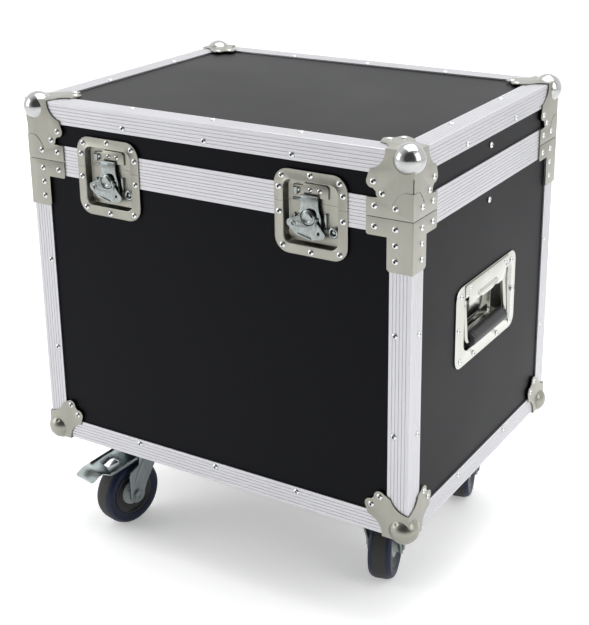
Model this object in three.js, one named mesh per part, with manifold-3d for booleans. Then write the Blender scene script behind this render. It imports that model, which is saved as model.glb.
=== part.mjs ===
// A plywood flight case with aluminium edge profiles, ball corners, two butterfly latches,
// sprung side handles and four swivel castors. Millimetres, +Z up, front towards -Y,
// floor at z = 0, origin under the middle of the case.
import * as THREE from "three";
import { mergeVertices } from "three/addons/utils/BufferGeometryUtils.js";
import Module from "manifold-3d";

const wasm = await Module();
wasm.setup();

// ---- Driving dimensions -------------------------------------------------------------------
const gap = 0.3; // between pieces that touch
const box = { width: 592, depth: 453, height: 508 }; // over the edge profiles, castors not counted
const lidHeight = 83; // from the joint up to the top of the lid
const panel = 9; // laminated plywood
const profile = { leg: 30, wall: 2 }; // edge angle
const closing = { baseLeg: 19, lidLeg: 23, web: 3, lidWeb: 5.5, inner: 1.5, innerLeg: 15 };
const tongue = { width: 2, height: 3, inset: 5.5, side: 1, top: 1.2 }; // side and top are clearances
const ball = { radius: 20, inset: 10.5, skin: 1.4 };
const plate = { thick: 1.5, lobe: 8, near: 40, far: 53, foot: 36, hollow: 26, hollowAt: 62 };
const bracket = { arm: 61, leg: 33, drop: 66, lidRise: 45, lidNear: 13 };
const board = { thick: 18, insetX: 48, insetY: 46.5, chamfer: 21 };
const castor = {
  wheelRadius: 50,
  crownClear: 19.4, // top of the wheel to the fork's crown
  wheelWidth: 34,
  trail: 36,
  insetX: 90.5,
  insetY: 98,
  plateX: 75,
  plateY: 95,
  plateThick: 3,
  raceRadius: 27,
  raceHeight: 9,
  crownRadius: 34,
  crownThick: 5,
  legThick: 3,
  legClear: 4.5, // wheel side to fork leg
  axleRadius: 5,
  axleClear: 0.25,
};
const pedal = { root: 30, reach: 88, tip: 116, width: 52, padWidth: 40, thick: 2.5, eye: 5.5 };
const latch = {
  spacing: 316,
  below: 12, // from the joint down to the middle of the dish
  width: 104,
  height: 109,
  corner: 20,
  openWidth: 77,
  openHeight: 81,
  openCorner: 10,
  sheet: 1.5,
  depth: 9.8, // face of the case to the dish floor
  drumX: -5,
  drumZ: -5,
  drumRadius: 9.5,
  drumProud: 1.5,
  neckRadius: 6,
  hookTop: 22.5,
  hookBottom: -25,
  hookHalf: 12.3,
  hookWide: 16,
  hookThick: 1.6,
  hookTravel: 8,
  wingTurn: -13, // degrees at rest
  wingThick: 1.6,
};
const handle = {
  above: 238, // underside of the box to the middle of the flange
  width: 194,
  height: 114,
  corner: 16,
  openWidth: 144,
  openHeight: 81,
  openAbove: 2.5,
  openCorner: 12,
  sheet: 1.5,
  depth: 25.5,
  rod: 3.5,
  armY: 64,
  hingeAbove: 31,
  hingeDeep: 5.5,
  armLength: 57.6,
  tuck: 28,
  gripRadius: 10,
  gripHalf: 56,
  restTilt: -4,
  coverHalf: 60,
  coverTopHalf: 71,
};
const hinge = { half: 220, knuckles: 11, radius: 4, pin: 1.8, bore: 1.95, leaf: 1.5, drop: 29 };
const stay = { kneeRoom: 26.5, extra: 5, above: 74, width: 16, thick: 3, pin: 3, boss: 5 };

// ---- Places worked out from them -----------------------------------------------------------
const halfX = box.width / 2;
const halfY = box.depth / 2;
const crownZ = 2 * castor.wheelRadius + castor.crownClear;
const raceZ = crownZ + castor.crownThick + gap;
const castorTop = raceZ + castor.raceHeight + castor.plateThick + gap; // underside of the board
const underZ = castorTop + board.thick;
const stayLower = halfY - stay.kneeRoom; // the knee stays clear of the back
const stayUpper = stayLower + stay.extra;
const topZ = underZ + box.height;
const splitZ = topZ - lidHeight;
const lidZ = splitZ + gap; // underside of the lid
const panelOut = profile.wall + gap; // case face to the outside of a panel
const panelIn = panelOut + panel; // case face to the inside of a panel
const innerFace = panelIn + gap + closing.inner; // case face to the inside of the closing profile
const plateIn = gap;
const plateOut = gap + plate.thick;
const latchZ = splitZ - latch.below;
const handleZ = underZ + handle.above;
const hingeAxis = { y: halfY + hinge.radius + gap, z: splitZ + gap / 2 };
const big = 2000;

// ---- Materials ------------------------------------------------------------------------------
const paint = (color, roughness, metalness) =>
  new THREE.MeshStandardMaterial({ color, roughness, metalness });
const materials = {
  laminate: paint(0x202123, 0.55, 0),
  aluminium: paint(0xd2d2d6, 0.35, 1),
  steel: paint(0xaeb0a8, 0.35, 1),
  zinc: paint(0xb4bcbc, 0.3, 1),
  fork: paint(0x8a9090, 0.35, 1),
  tyre: paint(0x16264a, 0.6, 0),
  rubber: paint(0x14151a, 0.7, 0),
  ply: paint(0xb58a56, 0.7, 0),
};

// ---- Solids ---------------------------------------------------------------------------------
function solid(geometry, matrix) {
  const bare = geometry.index ? geometry.toNonIndexed() : geometry.clone();
  bare.deleteAttribute("normal");
  bare.deleteAttribute("uv");
  if (matrix) bare.applyMatrix4(matrix);
  const merged = mergeVertices(bare, 1e-4);
  const vertProperties = new Float32Array(merged.attributes.position.array);
  const triVerts = new Uint32Array(merged.index.array);
  return new wasm.Manifold(new wasm.Mesh({ numProp: 3, vertProperties, triVerts }));
}

const union = (...parts) => parts.flat().reduce((sum, part) => sum.add(part));
const cut = (whole, ...tools) => tools.flat().reduce((rest, tool) => rest.subtract(tool), whole);

function geometryOf(manifold) {
  const mesh = manifold.getMesh();
  const points = new Float32Array(mesh.numVert * 3);
  for (let i = 0; i < mesh.numVert; i++) {
    points.set(mesh.vertProperties.subarray(i * mesh.numProp, i * mesh.numProp + 3), i * 3);
  }
  const geometry = new THREE.BufferGeometry();
  geometry.setAttribute("position", new THREE.BufferAttribute(points, 3));
  geometry.setIndex(new THREE.BufferAttribute(mesh.triVerts, 1));
  geometry.computeVertexNormals();
  return geometry;
}

// A block between two opposite corners.
function block(x0, x1, y0, y1, z0, z1) {
  const geometry = new THREE.BoxGeometry(x1 - x0, y1 - y0, z1 - z0);
  geometry.translate((x0 + x1) / 2, (y0 + y1) / 2, (z0 + z1) / 2);
  return solid(geometry);
}

// A cylinder from one point to another.
function rod(from, to, radius, sides = 16) {
  const a = new THREE.Vector3(...from);
  const b = new THREE.Vector3(...to);
  const geometry = new THREE.CylinderGeometry(radius, radius, a.distanceTo(b), sides);
  const turn = new THREE.Quaternion().setFromUnitVectors(
    new THREE.Vector3(0, 1, 0),
    b.clone().sub(a).normalize(),
  );
  const middle = a.clone().add(b).multiplyScalar(0.5);
  return solid(geometry, new THREE.Matrix4().compose(middle, turn, new THREE.Vector3(1, 1, 1)));
}

// An outline in x and y, raised from z0 to z1.
function prism(shape, z0, z1, matrix, curveSegments = 3) {
  const options = { depth: z1 - z0, bevelEnabled: false, curveSegments };
  const geometry = new THREE.ExtrudeGeometry(shape, options);
  geometry.translate(0, 0, z0);
  return solid(geometry, matrix);
}

function roundedRect(width, height, r, cx = 0, cy = 0) {
  const x = width / 2;
  const y = height / 2;
  const shape = new THREE.Shape();
  shape.absarc(cx + x - r, cy - y + r, r, -Math.PI / 2, 0);
  shape.absarc(cx + x - r, cy + y - r, r, 0, Math.PI / 2);
  shape.absarc(cx - x + r, cy + y - r, r, Math.PI / 2, Math.PI);
  shape.absarc(cx - x + r, cy - y + r, r, Math.PI, Math.PI * 1.5);
  shape.closePath();
  return shape;
}

const polygon = (points) => new THREE.Shape(points.map(([x, y]) => new THREE.Vector2(x, y)));

// A square tube round the case, between two distances in from its faces.
function ring(inset0, inset1, z0, z1) {
  const outer = block(inset0 - halfX, halfX - inset0, inset0 - halfY, halfY - inset0, z0, z1);
  const x = halfX - inset1;
  const y = halfY - inset1;
  return cut(outer, block(-x, x, -y, y, z0 - 1, z1 + 1));
}

// A frame on a face of the case: u runs along it, v up it and n out of it.
function onFace(face, u = 0, v = 0) {
  const frames = {
    front: [[1, 0, 0], [0, 0, 1], [0, -1, 0], [0, -halfY, 0]],
    back: [[-1, 0, 0], [0, 0, 1], [0, 1, 0], [0, halfY, 0]],
    right: [[0, 1, 0], [0, 0, 1], [1, 0, 0], [halfX, 0, 0]],
    left: [[0, -1, 0], [0, 0, 1], [-1, 0, 0], [-halfX, 0, 0]],
  };
  const [x, y, z, at] = frames[face].map((v3) => new THREE.Vector3(...v3));
  const origin = at.addScaledVector(x, u).addScaledVector(y, v);
  return new THREE.Matrix4().makeBasis(x, y, z).setPosition(origin);
}

// ---- The scene ------------------------------------------------------------------------------
const flightCase = new THREE.Group();
flightCase.name = "flight_case";

function add(name, manifold, material, matrix) {
  const mesh = new THREE.Mesh(geometryOf(manifold), materials[material].clone());
  mesh.name = name;
  if (matrix) matrix.decompose(mesh.position, mesh.quaternion, mesh.scale);
  flightCase.add(mesh);
}

const corners = [
  { name: "front_left", x: -1, y: -1 },
  { name: "front_right", x: 1, y: -1 },
  { name: "rear_left", x: -1, y: 1 },
  { name: "rear_right", x: 1, y: 1 },
];

// A corner's frame has its origin at the corner point and its axes running into the case.
function atCorner({ x, y }, z, up) {
  return new THREE.Matrix4().makeScale(-x, -y, up).setPosition(x * halfX, y * halfY, z);
}

// ---- Latch dish, shared by the cut-outs and the pieces in it --------------------------------
const latchSides = [
  { name: "left", x: -latch.spacing / 2 },
  { name: "right", x: latch.spacing / 2 },
];
const latchFrame = (side) => onFace("front", side.x, latchZ);

function dishHole(sizes, at, matrix, deep) {
  const grow = 2 * (sizes.sheet + gap);
  const corner = sizes.openCorner + sizes.sheet + gap;
  const shape = roundedRect(sizes.openWidth + grow, sizes.openHeight + grow, corner, 0, at);
  return prism(shape, -deep, 10, matrix, 3);
}
const latchHoles = (deep) => latchSides.map((s) => dishHole(latch, 0, latchFrame(s), deep));

// A flanged dish: flange on the face, walls and floor behind it.
function dish(sizes, at, flangeIn, flangeOut) {
  const flange = prism(roundedRect(sizes.width, sizes.height, sizes.corner), flangeIn, flangeOut);
  const grow = 2 * sizes.sheet;
  const outer = roundedRect(
    sizes.openWidth + grow,
    sizes.openHeight + grow,
    sizes.openCorner + sizes.sheet,
    0,
    at,
  );
  const inner = roundedRect(sizes.openWidth, sizes.openHeight, sizes.openCorner, 0, at);
  const body = prism(outer, -sizes.depth - sizes.sheet, flangeOut, undefined, 3);
  return cut(flange.add(body), prism(inner, -sizes.depth, flangeOut + 1, undefined, 3));
}

// ---- Plywood shell ---------------------------------------------------------------------------
function buildBasePanels() {
  const z0 = underZ + panelOut;
  const z1 = splitZ - closing.web - gap;
  const x = halfX - panelOut;
  const y = halfY - panelOut;
  const front = block(-x, x, -y, panelIn - halfY, z0, z1);
  add("base_front_panel", cut(front, latchHoles(panelIn + 1)), "laminate");
  add("base_back_panel", block(-x, x, halfY - panelIn, y, z0, z1), "laminate");
  const sideY = halfY - panelIn - gap;
  for (const [name, sign] of [["left", -1], ["right", 1]]) {
    const outer = sign * x;
    const inner = sign * (halfX - panelIn);
    const wall = block(Math.min(outer, inner), Math.max(outer, inner), -sideY, sideY, z0, z1);
    const hole = dishHole(handle, handle.openAbove, onFace(name, 0, handleZ), panelIn + 1);
    add(`base_${name}_panel`, cut(wall, hole), "laminate");
  }
  const floorX = halfX - panelIn - gap;
  add("base_floor_panel", block(-floorX, floorX, -sideY, sideY, z0, z0 + panel), "laminate");
}

function buildLidPanels() {
  const z0 = lidZ + closing.lidWeb + gap;
  const topUnder = topZ - panelIn;
  const walls = ring(panelOut, panelIn, z0, topUnder - gap);
  add("lid_side_panels", cut(walls, latchHoles(panelIn + 1)), "laminate");
  const x = halfX - panelOut;
  const y = halfY - panelOut;
  add("lid_top_panel", block(-x, x, -y, y, topUnder, topZ - panelOut), "laminate");
}

// ---- Aluminium profiles ----------------------------------------------------------------------
// A thin skin over a block, with each face opened up to leave a leg's width along its edges.
function edgeAngles(z0, z1, openLow) {
  const wall = profile.wall;
  const leg = profile.leg;
  const low = openLow ? z0 - 1 : z0 + wall;
  const high = openLow ? z1 - wall : z1 + 1;
  const skin = block(-halfX, halfX, -halfY, halfY, z0, z1);
  const inner = block(wall - halfX, halfX - wall, wall - halfY, halfY - wall, low, high);
  const w0 = openLow ? z0 - 1 : z0 + leg;
  const w1 = openLow ? z1 - leg : z1 + 1;
  const x = halfX - leg;
  const y = halfY - leg;
  const windows = [
    block(-big, big, -y, y, w0, w1),
    block(-x, x, -big, big, w0, w1),
    block(-x, x, -y, y, z0 - 1, z1 + 1),
  ];
  return cut(skin, inner, windows);
}

function buildEdgeFrames() {
  const base = edgeAngles(underZ, splitZ - closing.baseLeg - gap, false);
  add("base_edge_angles", cut(base, latchHoles(panelIn + 1)), "aluminium");
  const lid = edgeAngles(lidZ + closing.lidLeg + gap, topZ, true);
  add("lid_edge_angles", cut(lid, latchHoles(panelIn + 1)), "aluminium");
}

// The two closing profiles are channels over the panel edges, one with a tongue, one with a groove.
function buildClosingFrames() {
  const inner = panelIn + gap;
  const notch = latchHoles(panelIn + gap / 2);
  const base = union(
    ring(0, profile.wall, splitZ - closing.baseLeg, splitZ),
    ring(0, innerFace, splitZ - closing.web, splitZ),
    ring(inner, innerFace, splitZ - closing.innerLeg, splitZ),
    ring(tongue.inset, tongue.inset + tongue.width, splitZ - 1, splitZ + tongue.height),
  );
  add("base_closing_profile", cut(base, notch), "aluminium");
  const groove = ring(
    tongue.inset - tongue.side,
    tongue.inset + tongue.width + tongue.side,
    lidZ - 1,
    splitZ + tongue.height + tongue.top,
  );
  const lid = union(
    ring(0, profile.wall, lidZ, lidZ + closing.lidLeg),
    ring(0, innerFace, lidZ, lidZ + closing.lidWeb),
    ring(inner, innerFace, lidZ, lidZ + closing.innerLeg),
  );
  add("lid_closing_profile", cut(lid, groove, notch), "aluminium");
}

// ---- Corners ---------------------------------------------------------------------------------
// One leg of a ball corner: two lobes on the far side, hollowed sides, square at the corner.
function legOutline() {
  const shape = new THREE.Shape();
  const { near, far, lobe, foot, hollow, hollowAt } = plate;
  shape.moveTo(-plateOut, -plateOut);
  shape.lineTo(foot, -plateOut);
  shape.absarc(hollowAt, 0, hollow, Math.PI, 1.75, true);
  shape.absarc(far, near, lobe, -0.6, 1.75);
  shape.absarc(near, far, lobe, -0.18, Math.PI / 2 + 0.6);
  shape.absarc(0, hollowAt, hollow, -0.18, -Math.PI / 2, true);
  shape.lineTo(-plateOut, foot);
  shape.closePath();
  return shape;
}

// Frames that lay an outline on each of the three faces that meet at a corner.
const faceAB = new THREE.Matrix4();
const faceAC = new THREE.Matrix4().makeBasis(
  new THREE.Vector3(1, 0, 0),
  new THREE.Vector3(0, 0, 1),
  new THREE.Vector3(0, 1, 0),
);
const faceBC = new THREE.Matrix4().makeBasis(
  new THREE.Vector3(0, 1, 0),
  new THREE.Vector3(0, 0, 1),
  new THREE.Vector3(1, 0, 0),
);

// A plate lying on a face of the case, just outside it. Swapping two axes would turn the
// solid inside out, so the x-z face is drawn on the far side and mirrored back.
function facePlate(shape, face) {
  if (face.determinant() > 0) return prism(shape, -plateOut, -plateIn, face);
  const mirror = new THREE.Matrix4().makeScale(1, 1, -1);
  return prism(shape, plateIn, plateOut, face.clone().multiply(mirror));
}

function ballCorner(extra = []) {
  const outline = legOutline();
  const centre = new THREE.Matrix4().makeTranslation(ball.inset, ball.inset, ball.inset);
  const round = (r, sides) => solid(new THREE.SphereGeometry(r, sides, sides / 2 + 2), centre);
  const hollow = round(ball.radius - ball.skin, 8);
  const inside = block(-gap, big, -gap, big, -gap, big);
  const cap = cut(round(ball.radius, 12), inside);
  const legs = [faceAB, faceAC, faceBC].map((face) => facePlate(outline, face));
  return cut(union(cap, legs, extra), hollow);
}

// The lid's corners also carry the bracket that wraps the closing profile below them.
function lidBracket() {
  const low = lidHeight - 2 * gap;
  const high = lidHeight - closing.lidLeg;
  const outline = polygon([
    [-plateOut, low],
    [bracket.arm, low],
    [bracket.arm, high],
    [bracket.leg, high - 2],
    [bracket.leg - 8, lidHeight - bracket.lidRise + 8],
    [bracket.lidNear, lidHeight - bracket.lidRise],
    [-plateOut, lidHeight - bracket.lidRise],
  ]);
  return [faceAC, faceBC].map((face) => facePlate(outline, face));
}

function baseBracket() {
  const top = gap;
  const outline = polygon([
    [-plateOut, top],
    [bracket.arm, top],
    [bracket.arm, closing.baseLeg + 2],
    [bracket.arm - 2, closing.baseLeg + 4],
    [bracket.leg, closing.baseLeg + 4],
    [bracket.leg, bracket.drop - 3],
    [bracket.leg - 3, bracket.drop],
    [-plateOut, bracket.drop],
  ]);
  return union([faceAC, faceBC].map((face) => facePlate(outline, face)));
}

function buildCorners() {
  for (const corner of corners) {
    add(`lid_corner_${corner.name}`, ballCorner(lidBracket()), "steel", atCorner(corner, topZ, -1));
    add(`base_bracket_${corner.name}`, baseBracket(), "steel", atCorner(corner, splitZ, -1));
    add(`base_corner_${corner.name}`, ballCorner(), "steel", atCorner(corner, underZ, 1));
  }
}

// ---- Latches ----------------------------------------------------------------------------------
const latchPin = -1.3; // depth of the wing's pin, measured out of the face
const hookFront = -4.4;
const hookBack = hookFront - latch.hookThick;

function buildLatchDishes(side) {
  const frame = latchFrame(side);
  const whole = dish(latch, 0, plateIn, plateOut);
  const lowHalf = block(-big, big, -big, latch.below, -big, big);
  const highHalf = block(-big, big, latch.below + gap, big, -big, big);
  const drum = latch.drumX;
  const keeper = union(
    block(drum - 25, drum + 25, latch.below + 7, latch.below + 24, -latch.depth - 0.2, -8),
    block(drum - 11, drum + 11, latch.below + 7, latch.below + 9, -8.2, hookBack - 0.5),
  );
  add(`latch_lower_dish_${side.name}`, whole.intersect(lowHalf), "steel", frame);
  add(`latch_keeper_dish_${side.name}`, union(whole.intersect(highHalf), keeper), "steel", frame);
}

function hookPlate() {
  const { drumX, drumZ, hookTop, hookBottom, hookHalf, hookWide, neckRadius } = latch;
  const slotRadius = neckRadius + 2 * gap;
  const outline = polygon([
    [drumX - hookWide, hookBottom],
    [drumX + hookWide, hookBottom],
    [drumX + hookWide, drumZ],
    [drumX + hookHalf, drumZ + 13],
    [drumX + hookHalf, hookTop],
    [drumX - hookHalf, hookTop],
    [drumX - hookHalf, drumZ + 13],
    [drumX - hookWide, drumZ],
  ]);
  const slot = new THREE.Path();
  slot.absarc(drumX, drumZ, slotRadius, 0, Math.PI);
  slot.absarc(drumX, drumZ - latch.hookTravel, slotRadius, Math.PI, 2 * Math.PI);
  slot.closePath();
  outline.holes.push(slot);
  const curl = block(drumX - 11, drumX + 11, hookTop - 2, hookTop, hookBack, hookFront + 1.2);
  return union(prism(outline, hookBack, hookFront), curl);
}

// Drum and wing are drawn with the drum's centre as origin and the wing hanging straight down.
const barrel = { inner: 10.4, outer: 13, radius: 2.1, pin: 1.2, bore: 1.45 };

function drumSolid() {
  const headBack = hookFront + 0.8;
  const head = rod([0, 0, headBack], [0, 0, latch.drumProud], latch.drumRadius);
  const neck = rod([0, 0, gap - latch.depth], [0, 0, headBack + 0.2], latch.neckRadius);
  const pin = rod([-barrel.outer, 0, latchPin], [barrel.outer, 0, latchPin], barrel.pin, 12);
  return union(head, neck, pin);
}

function wingSolid() {
  const shape = new THREE.Shape();
  shape.moveTo(-barrel.outer, 2);
  shape.lineTo(barrel.outer, 2);
  shape.absarc(22.5, -16.5, 4.2, 0.5, -0.9, true);
  shape.absarc(10, -23.5, 4, -1, -Math.PI / 2, true);
  shape.absarc(-10, -23.5, 4, -Math.PI / 2, -Math.PI + 1, true);
  shape.absarc(-22.5, -16.5, 4.2, -Math.PI + 0.9, Math.PI - 0.5, true);
  shape.closePath();
  for (const x of [-19, 19]) {
    const hole = new THREE.Path();
    hole.absarc(x, -15, 1.9, 0, 2 * Math.PI);
    shape.holes.push(hole);
  }
  const notch = rod([0, 0, -9], [0, 0, 9], latch.drumRadius + 2 * gap);
  const front = latchPin + latch.wingThick / 2;
  const sheet = cut(prism(shape, front - latch.wingThick, front), notch);
  const pinSpace = block(-barrel.outer - 2, barrel.outer + 2, -barrel.bore, 5, -9, 9);
  const barrels = [-1, 1].map((s) =>
    rod([s * barrel.inner, 0, latchPin], [s * barrel.outer, 0, latchPin], barrel.radius, 12),
  );
  const bore = rod([-big, 0, latchPin], [big, 0, latchPin], barrel.bore, 12);
  return cut(union(cut(sheet, pinSpace), barrels), bore);
}

function buildLatches() {
  for (const side of latchSides) {
    buildLatchDishes(side);
    add(`latch_hook_${side.name}`, hookPlate(), "zinc", latchFrame(side));
    const turned = latchFrame(side)
      .multiply(new THREE.Matrix4().makeTranslation(latch.drumX, latch.drumZ, 0))
      .multiply(new THREE.Matrix4().makeRotationZ(THREE.MathUtils.degToRad(latch.wingTurn)));
    add(`latch_drum_${side.name}`, drumSolid(), "zinc", turned);
    add(`latch_wing_${side.name}`, wingSolid(), "zinc", turned);
  }
}

// ---- Handles ----------------------------------------------------------------------------------
function handleCover() {
  const { coverHalf, coverTopHalf, hingeAbove, height } = handle;
  const low = hingeAbove - handle.rod - 3;
  const shoulder = hingeAbove + handle.rod + 4;
  const high = height / 2 - 1;
  const outline = polygon([
    [-coverHalf, low],
    [coverHalf, low],
    [coverHalf, shoulder],
    [coverTopHalf, shoulder],
    [coverTopHalf, high],
    [-coverTopHalf, high],
    [-coverTopHalf, shoulder],
    [-coverHalf, shoulder],
  ]);
  const face = -panelOut + 2 * gap + handle.sheet;
  const sheet = prism(outline, face - 0.1, face + handle.sheet);
  const bead = rod([-31, hingeAbove, face - 1], [31, hingeAbove, face - 1], 4.5, 16);
  return union(sheet, cut(bead, block(-big, big, -big, big, -big, face - 0.1)));
}

function handleDish() {
  const flangeIn = -panelOut + gap;
  return union(
    dish(handle, handle.openAbove, flangeIn, flangeIn + handle.sheet + gap),
    handleCover(),
  );
}

// The bail is drawn with its hinge on the u axis and its arms running straight down.
function bailSolid() {
  const { armY, armLength, tuck } = handle;
  const stops = [
    [-tuck, 0],
    [-armY, 0],
    [-armY, -armLength],
    [armY, -armLength],
    [armY, 0],
    [tuck, 0],
  ];
  const pieces = [];
  for (let i = 0; i + 1 < stops.length; i++) {
    pieces.push(rod([...stops[i], 0], [...stops[i + 1], 0], handle.rod, 8));
  }
  const elbows = stops.slice(1, -1).map(([x, y]) => {
    const at = new THREE.Matrix4().makeTranslation(x, y, 0);
    return solid(new THREE.SphereGeometry(handle.rod, 8, 6), at);
  });
  return union(pieces, elbows);
}

function gripSolid() {
  const { gripRadius, gripHalf, rod: rodRadius, armLength } = handle;
  const bore = rodRadius + gap;
  const profileLine = [
    [bore, -gripHalf],
    [gripRadius - 2, -gripHalf],
    [gripRadius, 2 - gripHalf],
    [gripRadius, gripHalf - 2],
    [gripRadius - 2, gripHalf],
    [bore, gripHalf],
    [bore, -gripHalf],
  ].map(([x, y]) => new THREE.Vector2(x, y));
  const along = new THREE.Matrix4()
    .makeTranslation(0, -armLength, 0)
    .multiply(new THREE.Matrix4().makeRotationZ(-Math.PI / 2));
  return solid(new THREE.LatheGeometry(profileLine, 20), along);
}

function buildHandles() {
  for (const side of ["left", "right"]) {
    const frame = onFace(side, 0, handleZ);
    add(`handle_dish_${side}`, handleDish(), "steel", frame);
    const hung = frame
      .clone()
      .multiply(new THREE.Matrix4().makeTranslation(0, handle.hingeAbove, -handle.hingeDeep))
      .multiply(new THREE.Matrix4().makeRotationX(THREE.MathUtils.degToRad(handle.restTilt)));
    add(`handle_bail_${side}`, bailSolid(), "steel", hung);
    add(`handle_grip_${side}`, gripSolid(), "rubber", hung);
  }
}

// ---- Back hinge -------------------------------------------------------------------------------
// One leaf's knuckles are every second stretch of the hinge line, starting with the base's.
function knuckleStretches(first) {
  const pitch = (2 * hinge.half) / hinge.knuckles;
  const stretches = [];
  for (let i = first; i < hinge.knuckles; i += 2) {
    stretches.push([-hinge.half + i * pitch + gap, -hinge.half + (i + 1) * pitch - gap]);
  }
  return stretches;
}

function hingeLeaf(first, z0, z1) {
  const { y, z } = hingeAxis;
  const sheet = block(-hinge.half, hinge.half, halfY + gap, halfY + gap + hinge.leaf, z0, z1);
  const clear = (s) => block(s[0] - 2 * gap, s[1] + 2 * gap, halfY, y + 9, z - 5, z + 5);
  const trimmed = cut(sheet, knuckleStretches(1 - first).map(clear));
  const barrels = knuckleStretches(first).map(([a, b]) =>
    rod([a, y, z], [b, y, z], hinge.radius, 12),
  );
  return union(trimmed, barrels);
}

function buildHinge() {
  const { y, z } = hingeAxis;
  const line = (radius) => rod([-hinge.half + 1, y, z], [hinge.half - 1, y, z], radius, 12);
  const base = hingeLeaf(0, splitZ - hinge.drop, splitZ - gap);
  add("hinge_base_leaf", union(base, line(hinge.pin)), "steel");
  const lid = hingeLeaf(1, lidZ + gap, lidZ + hinge.drop);
  add("hinge_lid_leaf", cut(lid, line(hinge.bore)), "steel");
}

// ---- Lid stays: two links a side, drawn closed -------------------------------------------------
const stayBase = { y: 0, z: splitZ - 34 };
const stayLid = { y: 0, z: stayBase.z + stay.above };

// The knee is where circles round the two end pivots meet, on the hinge side.
function stayKnee() {
  const reach = stay.above;
  const rise = (stayLower ** 2 - stayUpper ** 2 + reach ** 2) / (2 * reach);
  return { y: stayBase.y + Math.sqrt(stayLower ** 2 - rise ** 2), z: stayBase.z + rise };
}

function link(a, b, x0, x1) {
  const ends = [a, b].map((p) => rod([x0, p.y, p.z], [x1, p.y, p.z], stay.width / 2, 16));
  const dy = b.y - a.y;
  const dz = b.z - a.z;
  const turn = new THREE.Matrix4().makeRotationX(Math.atan2(dz, dy)).setPosition(0, a.y, a.z);
  const bar = new THREE.BoxGeometry(x1 - x0, Math.hypot(dy, dz), stay.width);
  bar.translate((x0 + x1) / 2, Math.hypot(dy, dz) / 2, 0);
  return union(ends, solid(bar, turn));
}

function buildStays() {
  const knee = stayKnee();
  const wall = halfX - panelIn - gap;
  const x2 = halfX - innerFace - 2 * gap;
  const x1 = x2 - stay.thick;
  const x0 = x1 - gap;
  const inner = x0 - stay.thick;
  const pin = (p, r, from, to) => rod([from, p.y, p.z], [to, p.y, p.z], r, 16);
  const lower = cut(link(stayBase, knee, x1, x2), pin(knee, stay.pin + gap, x1 - 1, x2 + 1));
  const upper = union(
    link(knee, stayLid, inner, x0),
    pin(knee, stay.pin, inner - 2, x2),
    pin(stayLid, stay.boss, inner - 2, wall),
  );
  const lowerBoss = pin(stayBase, stay.boss, x1 - 2, wall);
  for (const [side, sign] of [["left", -1], ["right", 1]]) {
    const flip = new THREE.Matrix4().makeScale(sign, 1, 1);
    add(`stay_lower_link_${side}`, union(lower, lowerBoss), "zinc", flip);
    add(`stay_upper_link_${side}`, upper, "zinc", flip);
  }
}

// ---- Castors ----------------------------------------------------------------------------------
// Headings are where the wheel trails, in degrees from the front (-Y) towards the right (+X).
const castors = [
  { corner: corners[0], heading: -11.5, brake: true },
  { corner: corners[1], heading: 195.5, brake: false },
  { corner: corners[2], heading: -168.5, brake: true },
  { corner: corners[3], heading: 195.5, brake: false },
];
const legIn = castor.wheelWidth / 2 + castor.legClear;
const legOut = legIn + castor.legThick;
const trailing = { y: -castor.trail, z: castor.wheelRadius };
const pedalPin = { y: -14, z: crownZ - 9 };
const pedalPinRadius = 3;

function buildCastorBoard() {
  const x = halfX - board.insetX;
  const y = halfY - board.insetY;
  const c = board.chamfer;
  const outline = polygon([
    [c - x, -y],
    [x - c, -y],
    [x, c - y],
    [x, y - c],
    [x - c, y],
    [c - x, y],
    [-x, y - c],
    [-x, c - y],
  ]);
  add("castor_board", prism(outline, castorTop, underZ + panelOut - gap), "ply");
}

function mountPlate() {
  const sheet = roundedRect(castor.plateX, castor.plateY, 10);
  const top = castorTop - gap;
  const race = rod([0, 0, raceZ], [0, 0, top - 1], castor.raceRadius);
  return union(prism(sheet, top - castor.plateThick, top, undefined, 3), race);
}

// Outlines in the wheel's plane: y along the case's y, up along its z.
const alongWheel = new THREE.Matrix4().makeBasis(
  new THREE.Vector3(0, 1, 0),
  new THREE.Vector3(0, 0, 1),
  new THREE.Vector3(1, 0, 0),
);

// Fork legs are drawn in the wheel's plane, with the swivel axis at the origin.
function forkLeg(x0) {
  const shape = new THREE.Shape();
  const top = crownZ + castor.crownThick;
  shape.moveTo(24, top);
  shape.lineTo(-24, top);
  shape.lineTo(-26, crownZ - 6);
  shape.lineTo(trailing.y - 13, trailing.z + 8);
  shape.absarc(trailing.y, trailing.z, 14, Math.PI * 0.8, Math.PI * 2.05);
  shape.lineTo(20, crownZ - 8);
  shape.closePath();
  return prism(shape, x0, x0 + castor.legThick, alongWheel);
}

function forkSolid(brake) {
  const top = crownZ + castor.crownThick;
  const crown = rod([0, 0, crownZ], [0, 0, top], castor.crownRadius);
  const { y, z } = trailing;
  const bolt = rod([-legOut - 3, y, z], [legOut + 3, y, z], castor.axleRadius, 12);
  const at = [pedalPin.y, pedalPin.z];
  const pin = rod([-legOut, ...at], [legOut, ...at], pedalPinRadius, 12);
  const fork = union(crown, forkLeg(-legOut), forkLeg(legIn), bolt);
  return brake ? union(fork, pin) : fork;
}

function wheelSolid() {
  const r = castor.wheelRadius;
  const w = castor.wheelWidth / 2;
  const bore = castor.axleRadius + castor.axleClear;
  const hub = legIn - 1;
  const line = [
    [bore, -hub],
    [12, -hub],
    [14, -w + 4],
    [31, -w + 4],
    [34, -w],
    [r - 5, -w],
    [r, -w + 10],
    [r, w - 10],
    [r - 5, w],
    [34, w],
    [31, w - 4],
    [14, w - 4],
    [12, hub],
    [bore, hub],
    [bore, -hub],
  ].map(([x, y]) => new THREE.Vector2(x, y));
  const turn = new THREE.Matrix4()
    .makeTranslation(0, trailing.y, trailing.z)
    .multiply(new THREE.Matrix4().makeRotationZ(-Math.PI / 2));
  return solid(new THREE.LatheGeometry(line, 24), turn);
}

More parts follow.
